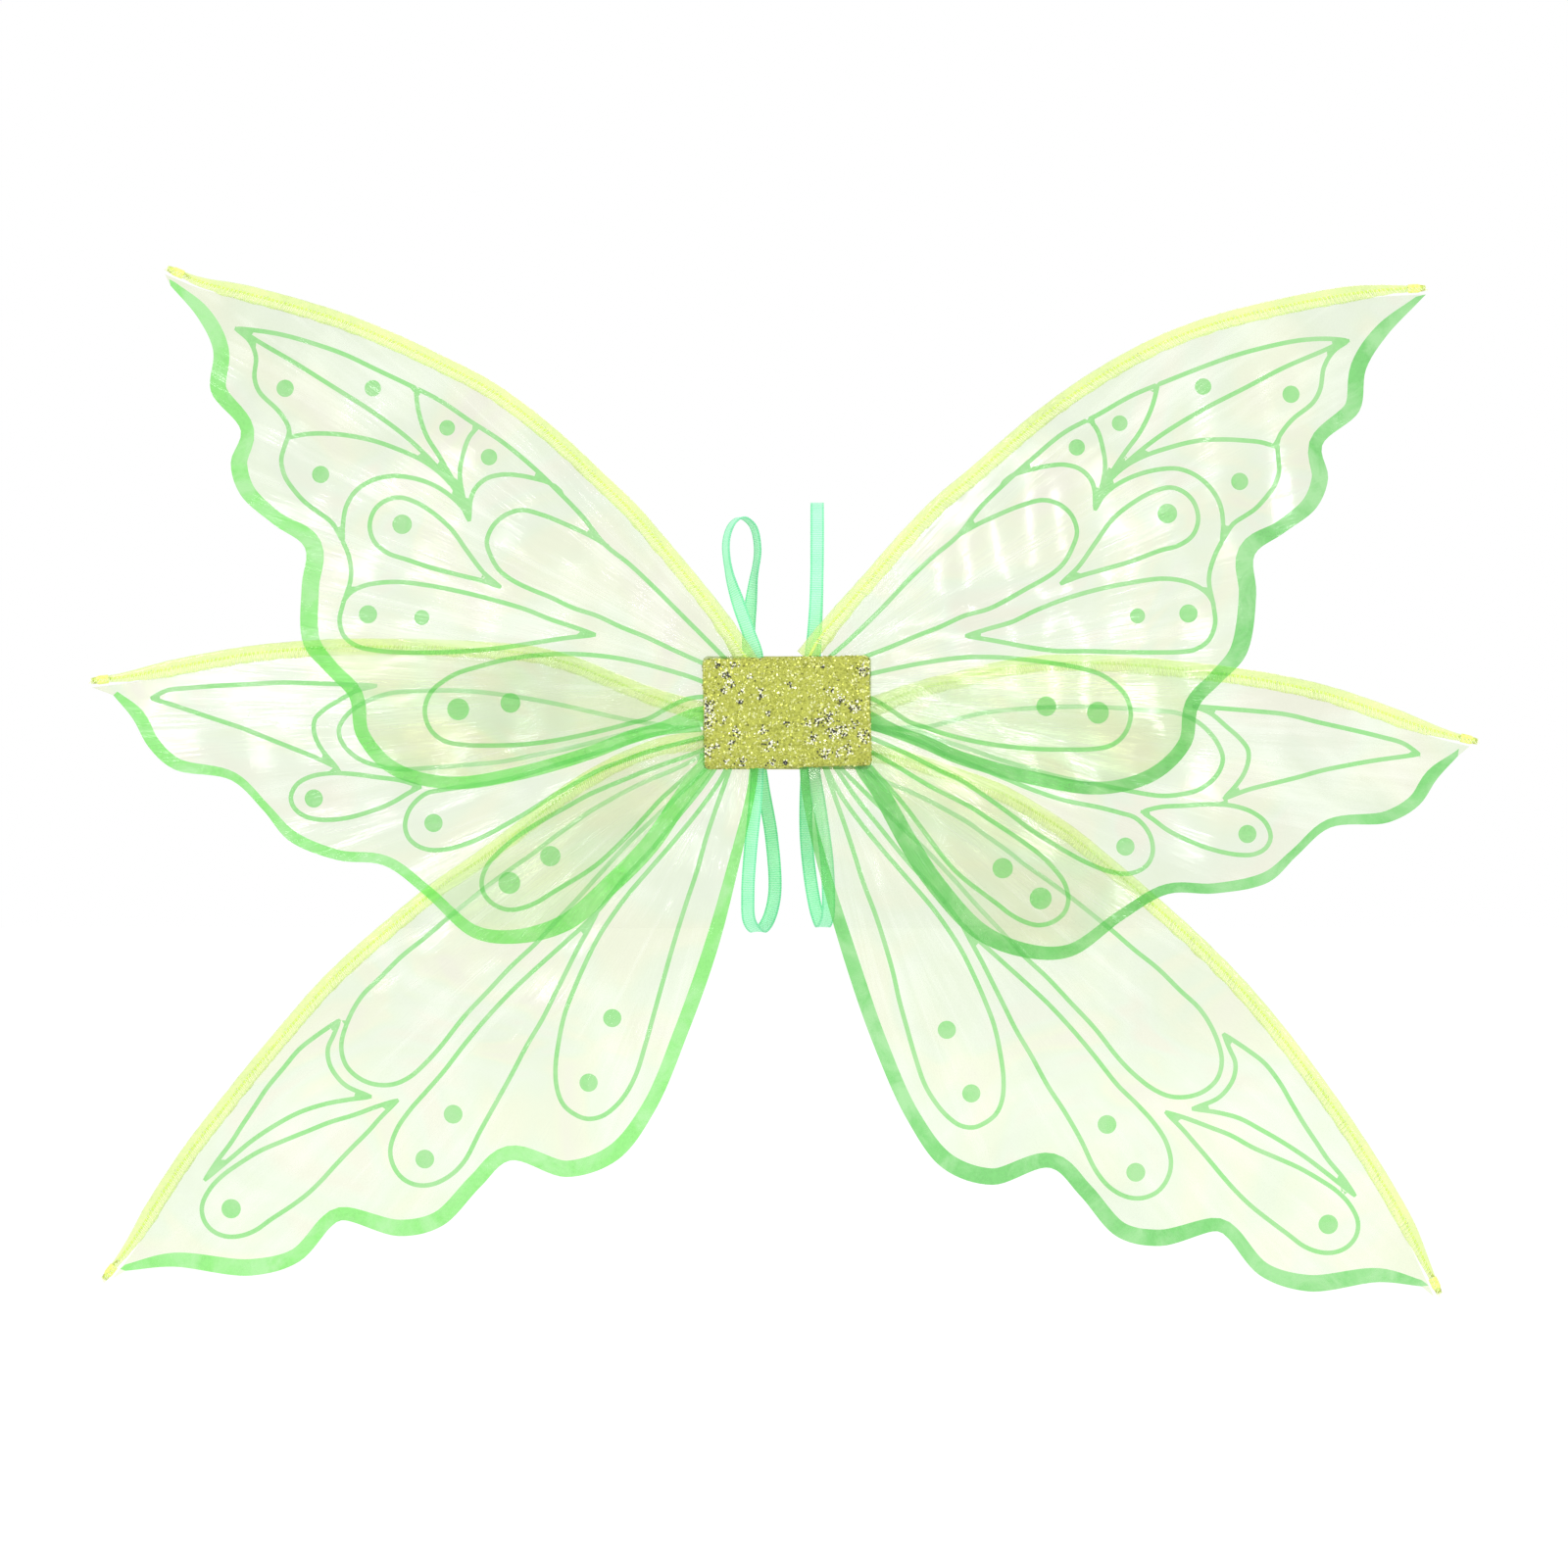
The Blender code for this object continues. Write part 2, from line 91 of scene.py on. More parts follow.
# ---------------------------------------------------------------- sizes shared with the CAD, in millimetres
# Wing points are (u, v): u outwards from the middle of the plate, v up.
SLEEVE_HALF_W, SLEEVE_HALF_T = 5.3, 1.6
ROOT_LENGTH = 11.0  # how far a sleeve runs in under the plate
WIRE_R = 0.9
PAD_LOW = Vector(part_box("glitter_cover")[0]) / MM
PANEL_LOW, PANEL_HIGH = (Vector(c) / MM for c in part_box("back_panel"))

SIDE_FOLD = (Vector((57.0, 0.0)), Vector((1.0, 0.0)))
CORNER_FOLD = (Vector((64.5, -40.0)), Vector((0.5, -math.sqrt(0.75))))

WINGS = {
    "upper": {
        "layer": -15.5, "fold": SIDE_FOLD, "seat": (-11.0, 9.0, -3.7),
        "leading": [
            (27, 36), (45, 63), (60, 82), (80, 106), (100, 129), (120, 148), (140, 167), (165, 188),
            (190, 205.5), (220, 221), (250, 235), (280, 247), (310, 256.5), (340, 264.5), (370, 272),
            (392, 281)],
        "leading_right": [
            (18.3, 43.2), (38.5, 68), (54.5, 86), (75, 109.5), (97, 132), (118.5, 150), (138, 167),
            (158, 184), (178.5, 199.5), (199, 213), (220, 225), (240.5, 235), (270.5, 246), (300.5, 253.8),
            (340, 262), (375, 267), (404, 268.5)],
        "trailing": [
            (390, 270), (373, 250), (363, 229), (364.5, 203), (345.5, 178), (352, 158), (346, 138),
            (325, 119), (305, 104), (307, 80), (306, 43), (291, 24.5), (277, 9.5), (272.5, -15),
            (252, -38.5), (215, -48.5), (170, -43), (120, -28.5), (100, -20.5), (80, -14.5), (57, -9.5),
            (46, -9)],
        "border": [3.5, 9, 10, 10, 8.5, 10.5, 10, 8.5, 11, 11, 11, 9, 9, 8.5, 8.5, 8, 8.5, 8.5, 8.5, 8,
                   12.5, 14],
    },
    "middle": {
        "layer": -11.5, "fold": SIDE_FOLD, "seat": (-3.0, 8.0, -6.0),
        "leading": [
            (56, 1), (82, 9), (110, 20), (135, 30), (162, 37), (190, 39.5), (220, 41), (250, 41.5),
            (280, 41.5), (310, 40), (340, 37), (370, 32), (400, 26), (420, 22.5), (441, 20)],
        "leading_right": [
            (52.8, 3.1), (62, 6.5), (75, 11.5), (92, 17), (108, 20.5), (134, 27), (162, 31.2), (190, 31.5),
            (220, 30), (250, 27.3), (280, 23.8), (310, 19), (340, 12.3), (368.5, 3.2), (397.5, -7.4),
            (417, -13.5), (437.7, -18.4)],
        "trailing": [
            (427, 11), (414.5, -4), (404.5, -22), (388.5, -36), (352, -43), (332, -62), (316, -81),
            (285, -93.5), (255.5, -97), (230.5, -115), (199.5, -142.5), (172, -146.5), (138, -138),
            (105, -111), (81, -86), (60, -54), (50, -41), (46, -33)],
        "border": [3.5, 8, 8, 7.5, 5.5, 5, 7, 6.5, 6.5, 6.5, 8, 9, 11, 12, 12, 11, 10.5, 10.5],
    },
    "lower": {
        "layer": -6.5, "fold": CORNER_FOLD, "seat": (-9.5, -7.5, 0.0),
        "leading": [
            (54, -17.5), (80, -21.5), (102, -29.5), (122, -40), (141, -52), (160, -67), (180, -82.5),
            (200, -97), (222, -112), (249.5, -134.5), (270.5, -152.5), (293.5, -174.5), (317.5, -202),
            (338, -226.5), (357.5, -251), (378, -277.5), (397, -306), (415, -335), (434, -360)],
        "leading_right": [
            (44.5, -25), (60, -26.5), (77, -30), (95, -36), (114, -42.5), (134, -50), (155, -61.5),
            (177, -75.5), (205, -98), (235, -124), (262, -148.5), (288, -175), (313, -204.5), (336, -235),
            (357, -265), (378, -298), (396.5, -331), (414.5, -369)],
        "trailing": [
            (420, -354.5), (390, -352), (340, -357.5), (309.5, -348.5), (289, -326), (283, -322.5),
            (246.5, -332.5), (219, -326), (194.5, -301), (176, -284.5), (140, -295), (107.5, -284),
            (84, -253), (62.5, -202.5), (44, -150), (30, -95), (20, -50), (16.5, -20)],
        "border": [4, 9, 10.5, 9, 8.5, 8.5, 10.5, 10, 9.5, 9.5, 10.5, 10.5, 9, 9, 9, 7, 5.5, 6],
    },
}

# The right wings are not quite the left ones mirrored. Once seated, their films lie a little further over:
# (u, v, shift outwards, shift up), blended between these places. The middle row's two outward shifts nearest
# the plate keep its film clear of the lower one when the wings fold.
SETTLE_REACH = 17.0
SETTLED = {
    "upper": [
        (80, 80, -1, 1.5), (100, 98, -2, 3), (120, 118, -4, 5), (140, 137, -4.5, 6), (160, 152, -4, 6.5),
        (200, 180, -3.5, 7.5), (240, 205, -2, 9), (300, 223, 1, 9), (353, 229, 4.8, 10.6),
        (319, 193, 0.5, 9), (264, 197, 0, 10), (215, 174.5, -6, 8.2), (187.5, 158, -4.5, 11.7),
        (198, 117, -3.3, 12.3), (293, 140, -8.4, 5), (240, 112, 2, 15), (262, 120, -1, 13),
        (258, 54, -4, 10.6), (224, 54, -2.4, 7.4), (165, 125.6, -2.5, 9), (187, 102, -1.5, 11),
        (175, 82, -2, 4), (278, 107, 1, 10), (275, 52, -3.5, 8), (233, 31, 0, 7), (200, 34, 0, 4.5),
        (160, 40, 0, 0), (113, 50, 0, 0), (75, 46, 0, -4), (100, 37, 0, -4.5), (65, 30, 0, -3),
        (140, 35, 0, -3), (197, -2, 0, 3), (164, 4, 0, 0), (74, 1, 0, -2.5), (96, -7, 0, -4),
        (119, -14, 0, -3), (149, -22, 0, 0), (190, -24, 0, 1), (215, -10, 0, 2), (56, -3, 0, -5),
        (74, -10, 0, -8), (96, -18, 0, -8), (119, -28, 0, -5.5), (141, -38, 0, -2.5), (177, -47, 0, 0),
        (205, -48, -1, 2), (245, -38, -4, 4), (262, -22, -4, 3), (262, 3, -5, 3), (281, 15, -9, 3),
        (296, 36, -7, 4), (300, 72, -3, 5), (300, 96, -5.5, 6.5), (325, 112, -8, 7), (350, 145, -9, 4),
        (344, 166, -7, 5), (359, 181, -6, 4), (367, 199, -1.5, 0), (372, 232, 0, 0), (390, 258, 6, 9)],
    "middle": [
        (74, -10, 0, 0), (126, -5, 0, 4.5), (149, -1, 0, 3.5), (177, 1, 0, 3.5), (200, 1, 0, 3),
        (240, -4, 0, 4), (278, -30, -2.5, 3), (265, -1, 0, 9), (300, -4, 0, 7.5), (340, -9, 0, 4.5),
        (362, -14, 0, 1.5), (396, -24, 0, 0.5), (288, -20, -3, 4), (285, -52, -2, 3), (320, -42, 0, 1.5),
        (360, -33, 0, 0.5), (289.5, -77.5, 4, 1), (304, -80, 2, 0), (260, -60, 0, 0), (260, -80, 1, 2),
        (213, -85, 2.5, 0), (229, -90, 1.5, 0), (402, -45, 7, -5), (420, -25, 2, -2), (331, -79, 4, -4),
        (311, -99, 2.5, -3.5), (380, -64, 1, -1), (345, -66, 0, 0), (255, -112, 0, 0), (200, -140, 0, 0),
        (170, -118, 0, 0), (137, -98, 0, 0), (74, -32, 0, -4.5), (96, -43, 0, -7), (119, -56, 0, -6),
        (134, -67, 0, -3.5), (112, -45, 0, 0), (134, -58, 0, 0), (51, -52, 6, 0), (69, -86, 5, 0),
        (90, -100, 0, 0), (46, -42, 0, 0), (110, -106, 0, 0)],
    "lower": [
        (271, -218, 2, -2), (281, -218, 3.5, -1), (255, -250, 3, 0), (316, -279, 0, -4.5), (361, -325, 1, -3),
        (342, -321, 0, -2), (342, -338, 0, -3), (221, -306, 1, -1), (128, -297, 0, 2.5), (235, -336, 0, 1.5),
        (170, -290, 1, 3), (42, -153, 2, 0), (57, -220, 1.5, 0.5), (82, -272, 2, 2), (412, -359, -8, -2.5),
        (200, -200, 0, 0), (100, -200, 0, 0), (300, -300, 0, 0)],
}

# Printed veins. A loop starts and ends at its point; its round end is away from the plate.
VEINS = {
    "upper": [
        # outline of the tip cell: along the leading edge to the root, and down inside the scalloped edge
        [(349, 243), (335, 241.5), (320, 239), (300, 233.5), (280, 226.5), (260, 217), (240, 207.5),
         (220, 197.5), (200, 184), (180, 171), (160, 154.5), (147, 142), (130, 124.5), (115, 106),
         (100, 94), (85, 80), (65, 60), (45, 40), (36, 31)],
        [(349, 243), (340, 235), (336, 225), (337, 212), (334, 203), (322, 191), (317, 184), (315, 178),
         (318, 168), (320, 160), (318, 150), (313, 142), (305, 133), (297, 127), (288, 120), (282, 110),
         (277, 98), (276, 85), (281, 68), (283, 58), (280, 48), (272, 42), (262, 39.5), (245, 38), (220, 38),
         (200, 39), (180, 41), (160, 44), (140, 47), (121, 49)],
        # ribs that meet at the upper fork
        [(347, 243), (335, 235), (312, 221.5), (288, 206.5), (262, 190), (240, 173.5), (224, 158), (212, 144),
         (201, 121)],
        [(315, 174), (305, 176), (295, 176.5), (280, 175.5), (262, 172), (245, 166), (230, 159), (218, 150),
         (209, 139), (201, 121)],
        [(235, 205), (233, 190), (228, 175), (220, 162), (212, 148), (205, 135), (201, 121)],
        [(195, 181), (201, 174), (205, 163), (207, 152), (206, 142), (201, 121)],
        [(201, 121), (200, 135), (197, 142), (190, 148), (180, 150.5), (170, 150), (160, 148), (150, 145),
         (143, 140)],
        [(281, 108), (281, 118), (279, 130), (273, 140), (262, 147), (250, 149.5), (238, 148.5), (225, 144.5),
         (213, 137), (205, 129), (201, 121)],
        # teardrops
        [(181, 79), (191.5, 88), (202, 101.5), (212.5, 116), (225, 127), (235, 133), (245, 136), (254, 134),
         (261, 128), (264, 118), (261, 108), (253, 101), (240, 96.5), (225, 91.5), (208, 87), (192, 83),
         (181, 79)],
        [(281, 70), (276, 76), (268, 80), (258, 82), (245, 82.5), (225, 80), (205, 76), (185, 71), (165, 65),
         (150, 59), (135, 54), (121, 49)],
        [(50, 18), (60, 22), (80, 28), (100, 33), (120, 36), (140, 37), (160, 36), (180, 33), (195, 29),
         (208, 25), (217, 20), (225, 13), (229, 3), (228, -6), (224, -13), (217, -18), (205, -20.5),
         (190, -21), (170, -20.5), (150, -18.3), (130, -14.5), (110, -9.8), (99, -6.8), (88, -4), (76, 2.5),
         (63, 8.5), (48, 10.3)],
        [(113, 105), (125, 112), (140, 119), (155, 125), (168, 128), (178, 125), (186, 118), (190, 108),
         (187.5, 99), (182.5, 90.5), (176, 85), (169, 81), (160, 77), (150, 73), (135, 66), (120, 61),
         (105, 54), (90, 48), (75, 41), (62, 35), (46, 28)],
    ],
    "middle": [
        [(403, 9), (393, 14), (380, 15.5), (360, 17), (340, 18), (320, 19), (300, 18.5), (285, 18),
         (260, 17)],
        [(260, 17), (272, 14), (285, 7), (293, 2), (299, -4), (300, -10), (298, -18), (293, -26), (285, -35)],
        [(403, 9), (390, 5), (375, 0), (360, -5), (345, -10), (330, -16), (315, -22), (300, -28), (285, -35)],
        [(46, -9.5), (70, -9.6), (80.5, -7.7), (94, -5.9), (107, -3.4), (125.5, 0.8), (150, 6.2), (175, 10.5),
         (195, 13), (215, 14),
         (235, 13.5), (250, 12.5), (262, 9), (272, 4), (280, -3), (284, -11), (282, -19), (276, -26),
         (268, -31), (258, -34), (245, -36), (225, -35), (200, -33), (180, -31), (160, -27), (140, -23),
         (120, -18), (100, -12.5), (86, -9), (72, -9.6)],
        [(232, -47), (245, -43), (260, -41), (275, -39), (290, -38.5), (303, -41), (311, -46), (314.5, -54),
         (312, -61), (305, -66), (295, -68), (280, -67), (265, -63), (250, -57), (240, -51), (232, -47)],
        [(46, -10), (85, -14), (105, -20.5), (125, -27), (145, -33), (165, -39), (185, -44), (205, -47),
         (218, -49), (228, -51), (235, -56), (240, -63), (242, -72), (240, -79), (235, -84), (227, -87),
         (215, -86.5), (200, -82), (190, -77.5), (179, -71.5), (165, -63.5), (150, -54), (135.5, -45.5),
         (118, -36), (105, -31), (90, -25.5), (70, -20), (46, -14)],
        [(46, -21), (63, -27.5), (76, -32), (88, -36.4), (100.5, -41.4), (113, -46.6), (125.5, -52),
         (138, -58.9), (150.5, -65.8), (161, -72), (172, -79.5), (182, -88), (190, -97), (193.5, -107),
         (192, -115), (186, -121.5), (177, -125), (168, -124), (158, -120), (150, -115), (140, -109),
         (130, -103), (120, -96), (110, -87), (100, -77), (90, -66), (80, -55), (70, -46), (60, -37),
         (48, -25)],
    ],
    "lower": [
        [(40, -19), (63, -32), (76, -38), (86, -42), (100.5, -48.9), (113, -55.7), (125.5, -63), (138, -72),
         (150.5, -81), (160, -88.5), (175, -99), (190, -110), (205, -122), (215, -130), (230, -143),
         (245, -155), (258, -168), (270, -180), (279, -196), (283, -212), (280, -224), (272, -232),
         (262, -236), (250, -236), (239, -231), (229, -222), (220, -212), (205, -193), (190, -177),
         (175, -161), (160, -147), (148, -134), (132, -117), (115, -98), (98, -80), (80, -63), (60, -44),
         (40, -24)],
        [(370, -297), (362, -285), (353, -273), (346, -262), (338, -250), (330, -238), (320, -226),
         (310, -214), (300, -206), (284, -195)],
        [(284, -195), (288, -205), (291.5, -213.5), (290.5, -223), (286, -231), (280, -237), (264, -244)],
        [(264, -244), (280, -246), (295, -249), (310, -254), (325, -262), (340, -272), (352, -282),
         (370, -297)],
        [(247, -246), (260, -250), (275, -255.5), (290, -260), (305, -266), (320, -272), (335, -278.5),
         (348, -286.5), (358.5, -294), (366.5, -302.5), (371.5, -313), (370.5, -322), (365, -329),
         (357, -332.5), (348, -332.5), (338, -329), (328, -322), (315, -313.5), (305, -306), (296, -297.5),
         (286, -286.5), (276, -276), (266, -266), (257.5, -256.5), (247, -246)],
        [(120, -126), (130, -136), (140, -145), (150, -154), (160, -163), (175, -177), (190, -193),
         (204.3, -210), (219, -229), (229.5, -241), (240, -253), (248, -265), (252, -278), (250, -288),
         (244, -296), (235, -300), (225, -299.5), (214, -294), (205, -285), (195, -266), (185, -248),
         (175, -230), (165, -211), (155, -194), (147, -178), (140, -164), (133, -150), (127, -139),
         (120, -126)],
        [(31, -20), (35, -32), (39.5, -45), (45.5, -62), (51.5, -80), (57, -100), (64, -121), (70, -140),
         (75, -157), (80, -175), (85, -193), (90, -211), (96, -230), (103, -243), (110, -251),
         (118, -256.5), (127, -258), (135, -255), (142, -249), (146, -239), (147, -226), (145, -209),
         (141, -191), (135, -175), (128, -159), (120, -143), (111, -129), (101, -115.5), (86, -98),
         (70.5, -80), (55.5, -61.5), (42.5, -43), (32, -22)],
        [(120, -126), (104, -106), (87, -88), (69, -66), (53, -46), (38, -24)],
    ],
}
DOTS = {  # (u, v, radius)
    "upper": [(317.5, 205, 5.5), (262, 205, 5.2), (215, 180, 5), (188.5, 161.5, 5.2), (295, 150.5, 5.5),
              (243.5, 119, 6.2), (265, 62, 5.8), (231, 60, 4.8), (208, 2, 7), (175, 6, 6.3)],
    "middle": [(300, -54.5, 5.8), (224, -70, 5.8), (176, -108, 7), (150, -91, 6.5)],
    "lower": [(353, -315, 6.2), (230, -283.5, 6), (212, -255, 6), (126, -235, 5.8), (111, -194, 5.8)],
}
VEIN_HALF = 1.45
VEIN_TAPER = 4.0  # length over which a vein's end narrows
WEB, WEB_FROM = 1.35, 110.0  # ink fills gaps under about twice this, further out than this from the plate

# Arm loops, as the CAD has them: (x, y, z) from the sewn top end round to the sewn bottom end
STRAP_W, STRAP_T, STRAP_Y = 8.5, 1.0, -2.8
STRAPS = {
    "left": [
        (-19, STRAP_Y, 20), (-19.5, STRAP_Y, 37), (-24, -1, 50), (-31, 4, 70), (-37, 10, 90), (-39, 17, 110),
        (-35, 25, 122.5), (-29, 31, 126.5), (-22, 38, 121.5), (-19, 44, 107), (-22, 48, 85), (-25, 51, 50),
        (-22, 52, 0), (-16, 51, -45), (-10, 48, -80), (-8, 40, -117), (-13, 32, -135), (-18.5, 25, -140),
        (-24, 17, -133.5), (-25, 9, -115), (-23.5, 3, -90), (-20, -1.5, -55), (-19, STRAP_Y, -37),
        (-19, STRAP_Y, -20)],
    "right": [
        (15, STRAP_Y, 20), (15.5, STRAP_Y, 37), (17, -1, 50), (18.5, 4, 70), (19.2, 10, 92), (19.5, 17, 115),
        (19.5, 25, 132), (19.5, 33, 136), (19.5, 41, 131), (19.5, 47, 111), (19.3, 50, 76), (17, 52, 20),
        (13, 51, -40), (12.5, 48, -78), (16, 41, -112), (20, 33, -131), (23, 25, -137), (26, 17, -131),
        (26.5, 9, -113), (25, 3, -90), (20, -1.5, -55), (17, STRAP_Y, -37), (16.5, STRAP_Y, -20)],
}


# ---------------------------------------------------------------- small helpers
def srgb(r, g, b):
    """A colour read as 0 to 255 display values, made linear."""
    return tuple(((c / 255 + 0.055) / 1.055) ** 2.4 if c > 10 else c / 255 / 12.92 for c in (r, g, b))


def spline(control, step):
    """Points about `step` apart on a smooth curve through the control points (centripetal Catmull-Rom)."""
    pts = [Vector(p) for p in control]
    pts = [2 * pts[0] - pts[1], *pts, 2 * pts[-1] - pts[-2]]
    out = []
    for i in range(1, len(pts) - 2):
        p0, p1, p2, p3 = pts[i - 1:i + 3]
        t1 = math.sqrt((p1 - p0).length)
        t2 = t1 + math.sqrt((p2 - p1).length)
        t3 = t2 + math.sqrt((p3 - p2).length)
        count = max(1, round((p2 - p1).length / step))
        for k in range(count):
            t = t1 + (t2 - t1) * k / count
            a1 = p0 * (t1 - t) / t1 + p1 * t / t1
            a2 = p1 * (t2 - t) / (t2 - t1) + p2 * (t - t1) / (t2 - t1)
            a3 = p2 * (t3 - t) / (t3 - t2) + p3 * (t - t2) / (t3 - t2)
            b1 = a1 * (t2 - t) / t2 + a2 * t / t2
            b2 = a2 * (t3 - t) / (t3 - t1) + a3 * (t - t1) / (t3 - t1)
            out.append(b1 * (t2 - t) / (t2 - t1) + b2 * (t - t1) / (t2 - t1))
    out.append(pts[-2])
    return out


def tangents(path):
    """Unit direction at each point of a path."""
    last = len(path) - 1
    return [(path[min(i + 1, last)] - path[max(i - 1, 0)]).normalized() for i in range(last + 1)]


def lengths(path):
    """Distance along a path to each of its points."""
    out = [0.0]
    for a, b in zip(path, path[1:]):
        out.append(out[-1] + (b - a).length)
    return out


def smooth(t):
    """0 to 1 with level ends."""
    t = max(0.0, min(1.0, t))
    return t * t * (3 - 2 * t)


def keep_vectors(piece, name, vectors):
    """Store one vector for each vertex, for the materials."""
    layer = piece.data.attributes.new(name, "FLOAT_VECTOR", "POINT")
    layer.data.foreach_set("vector", [c for v in vectors for c in v])


def add_mesh(name, points, faces, materials, indices=None, shade=True):
    """A mesh object from points in millimetres."""
    mesh = bpy.data.meshes.new(name)
    mesh.from_pydata([tuple(c * MM for c in p) for p in points], [], faces)
    for material in materials:
        mesh.materials.append(material)
    if indices is not None:
        mesh.polygons.foreach_set("material_index", indices)
    mesh.polygons.foreach_set("use_smooth", [shade] * len(mesh.polygons))
    mesh.update()
    obj = bpy.data.objects.new(name, mesh)
    bpy.context.scene.collection.objects.link(obj)
    return obj


# ---------------------------------------------------------------- materials
class Nodes:
    """A node material, built by short calls."""

    def __init__(self, name):
        self.material = bpy.data.materials.new(name)
        self.material.use_nodes = True
        self.tree = self.material.node_tree
        self.tree.nodes.clear()
        self.out = self.add("ShaderNodeOutputMaterial")

    def add(self, kind, inputs=None, **settings):
        node = self.tree.nodes.new(kind)
        for key, value in settings.items():
            setattr(node, key, value)
        for key, value in (inputs or {}).items():
            socket = node.inputs[key]
            if isinstance(value, bpy.types.NodeSocket):
                self.tree.links.new(value, socket)
            elif isinstance(value, tuple) and len(value) == 3 and socket.type == "RGBA":
                socket.default_value = (*value, 1.0)
            else:
                socket.default_value = value
        return node

    def noise(self, scale, detail=3.0, vector=None, rough=0.5, distort=0.0):
        node = self.add("ShaderNodeTexNoise", {"Scale": scale, "Detail": detail, "Roughness": rough,
                                               "Distortion": distort})
        if vector is not None:
            self.tree.links.new(vector, node.inputs["Vector"])
        return node.outputs["Fac"]

    def coords(self, scale=(1.0, 1.0, 1.0), rotation=(0.0, 0.0, 0.0)):
        where = self.add("ShaderNodeTexCoord").outputs["Object"]
        inputs = {"Vector": where, "Scale": scale, "Rotation": rotation}
        return self.add("ShaderNodeMapping", inputs).outputs[0]

    def ramp(self, fac, stops):
        node = self.add("ShaderNodeValToRGB", {"Fac": fac})
        elements = node.color_ramp.elements
        while len(elements) < len(stops):
            elements.new(0.5)
        for element, (at, colour) in zip(elements, stops):
            element.position = at
            element.color = (*colour, 1.0)
        return node.outputs["Color"]

    def mix(self, fac, a, b):
        return self.add("ShaderNodeMix", {0: fac, 6: a, 7: b}, data_type="RGBA").outputs[2]

    def maths(self, operation, a, b=0.0):
        return self.add("ShaderNodeMath", {0: a, 1: b}, operation=operation).outputs[0]

    def blend(self, fac, a, b):
        return self.add("ShaderNodeMixShader", {0: fac, 1: a, 2: b}).outputs[0]

    def bump(self, height, strength, distance):
        inputs = {"Height": height, "Strength": strength, "Distance": distance}
        return self.add("ShaderNodeBump", inputs).outputs[0]

    def finish(self, surface):
        self.tree.links.new(surface, self.out.inputs["Surface"])
        return self.material


def sheer(name, tint, body, haze, sheen, wrinkle, streak=0.0, print_grain=0.0, iris=0.0, blotch=None):
    """See-through sheet: light passes tinted, a share is scattered by the surface, and creases catch a gloss.

    The creases follow two vectors kept on the mesh: "fan" is (angle, distance) about the wing's root, and
    "flat" is the place on the flat sheet.
    """
    n = Nodes(name)
    fan = n.add("ShaderNodeAttribute", attribute_name="fan").outputs["Vector"]
    flat = n.add("ShaderNodeAttribute", attribute_name="flat").outputs["Vector"]

    def spread(vector, scale):
        return n.add("ShaderNodeMapping", {"Vector": vector, "Scale": scale}).outputs[0]

    broad = n.noise(9.0, 3.0, flat, 0.55, 1.2)
    ribs = n.noise(1.0, 3.0, spread(fan, (24.0, 5.0, 1.0)), 0.6, 0.4)
    fine = n.noise(1.0, 2.0, spread(fan, (95.0, 16.0, 1.0)), 0.6, 0.3)
    grain = n.noise(420.0, 2.0, flat, 0.7)
    pale = tuple(min(1.0, c * 1.04 + 0.012) for c in tint)
    deep = tuple(c * (1 - 0.05 - 0.25 * print_grain) for c in tint)
    tone = n.maths("ADD", n.maths("MULTIPLY", broad, 1 - print_grain),
                   n.maths("MULTIPLY", grain, print_grain))
    colour = n.ramp(tone, [(0.3, deep), (0.52, tint), (0.72, pale)])
    if blotch:
        patches = n.add("ShaderNodeMapRange",
                        {0: n.noise(34.0, 4.0, flat, 0.6, 0.6), 1: 0.42, 2: 0.62}).outputs[0]
        colour = n.mix(patches, colour, blotch)
    glint = (1.0, 1.0, 1.0)
    if iris:
        hue = n.noise(7.0, 2.0, spread(flat, (1.0, 1.3, 1.0)), 0.5, 2.0)
        rainbow = n.ramp(hue, [(0.30, (1.0, 0.95, 0.97)), (0.42, (1.0, 1.0, 0.93)), (0.50, (0.94, 1.0, 0.95)),
                               (0.58, (0.95, 1.0, 1.0)), (0.68, (1.0, 0.96, 0.97))])
        colour = n.add("ShaderNodeMix", {0: iris, 6: colour, 7: rainbow}, data_type="RGBA",
                       blend_type="MULTIPLY").outputs[2]
        glint = rainbow
    creases = n.maths("ADD", n.maths("MULTIPLY", fine, 0.3), ribs)
    normal = n.bump(creases, wrinkle, 0.004)
    through = n.add("ShaderNodeBsdfTransparent", {"Color": colour}).outputs[0]
    scattered = n.add("ShaderNodeBsdfDiffuse", {"Color": body, "Normal": normal}).outputs[0]
    translucent = n.add("ShaderNodeBsdfTranslucent", {"Color": body, "Normal": normal}).outputs[0]
    milky = n.blend(0.5, scattered, translucent)
    gloss = n.add("ShaderNodeBsdfGlossy", {"Color": glint, "Roughness": 0.14, "Normal": normal}).outputs[0]
    edge = n.add("ShaderNodeLayerWeight", {"Blend": 0.25, "Normal": normal}).outputs["Fresnel"]
    cloud = n.add("ShaderNodeMapRange", {0: n.maths("ADD", creases, n.maths("MULTIPLY", broad, 0.8)),
                                         1: 1.02, 2: 1.45, 3: 0.0, 4: streak}).outputs[0]
    base = n.blend(n.maths("ADD", cloud, haze), through, milky)
    fac = n.maths("ADD", n.maths("MULTIPLY", edge, sheen), sheen * 0.12)
    return n.finish(n.blend(fac, base, gloss))


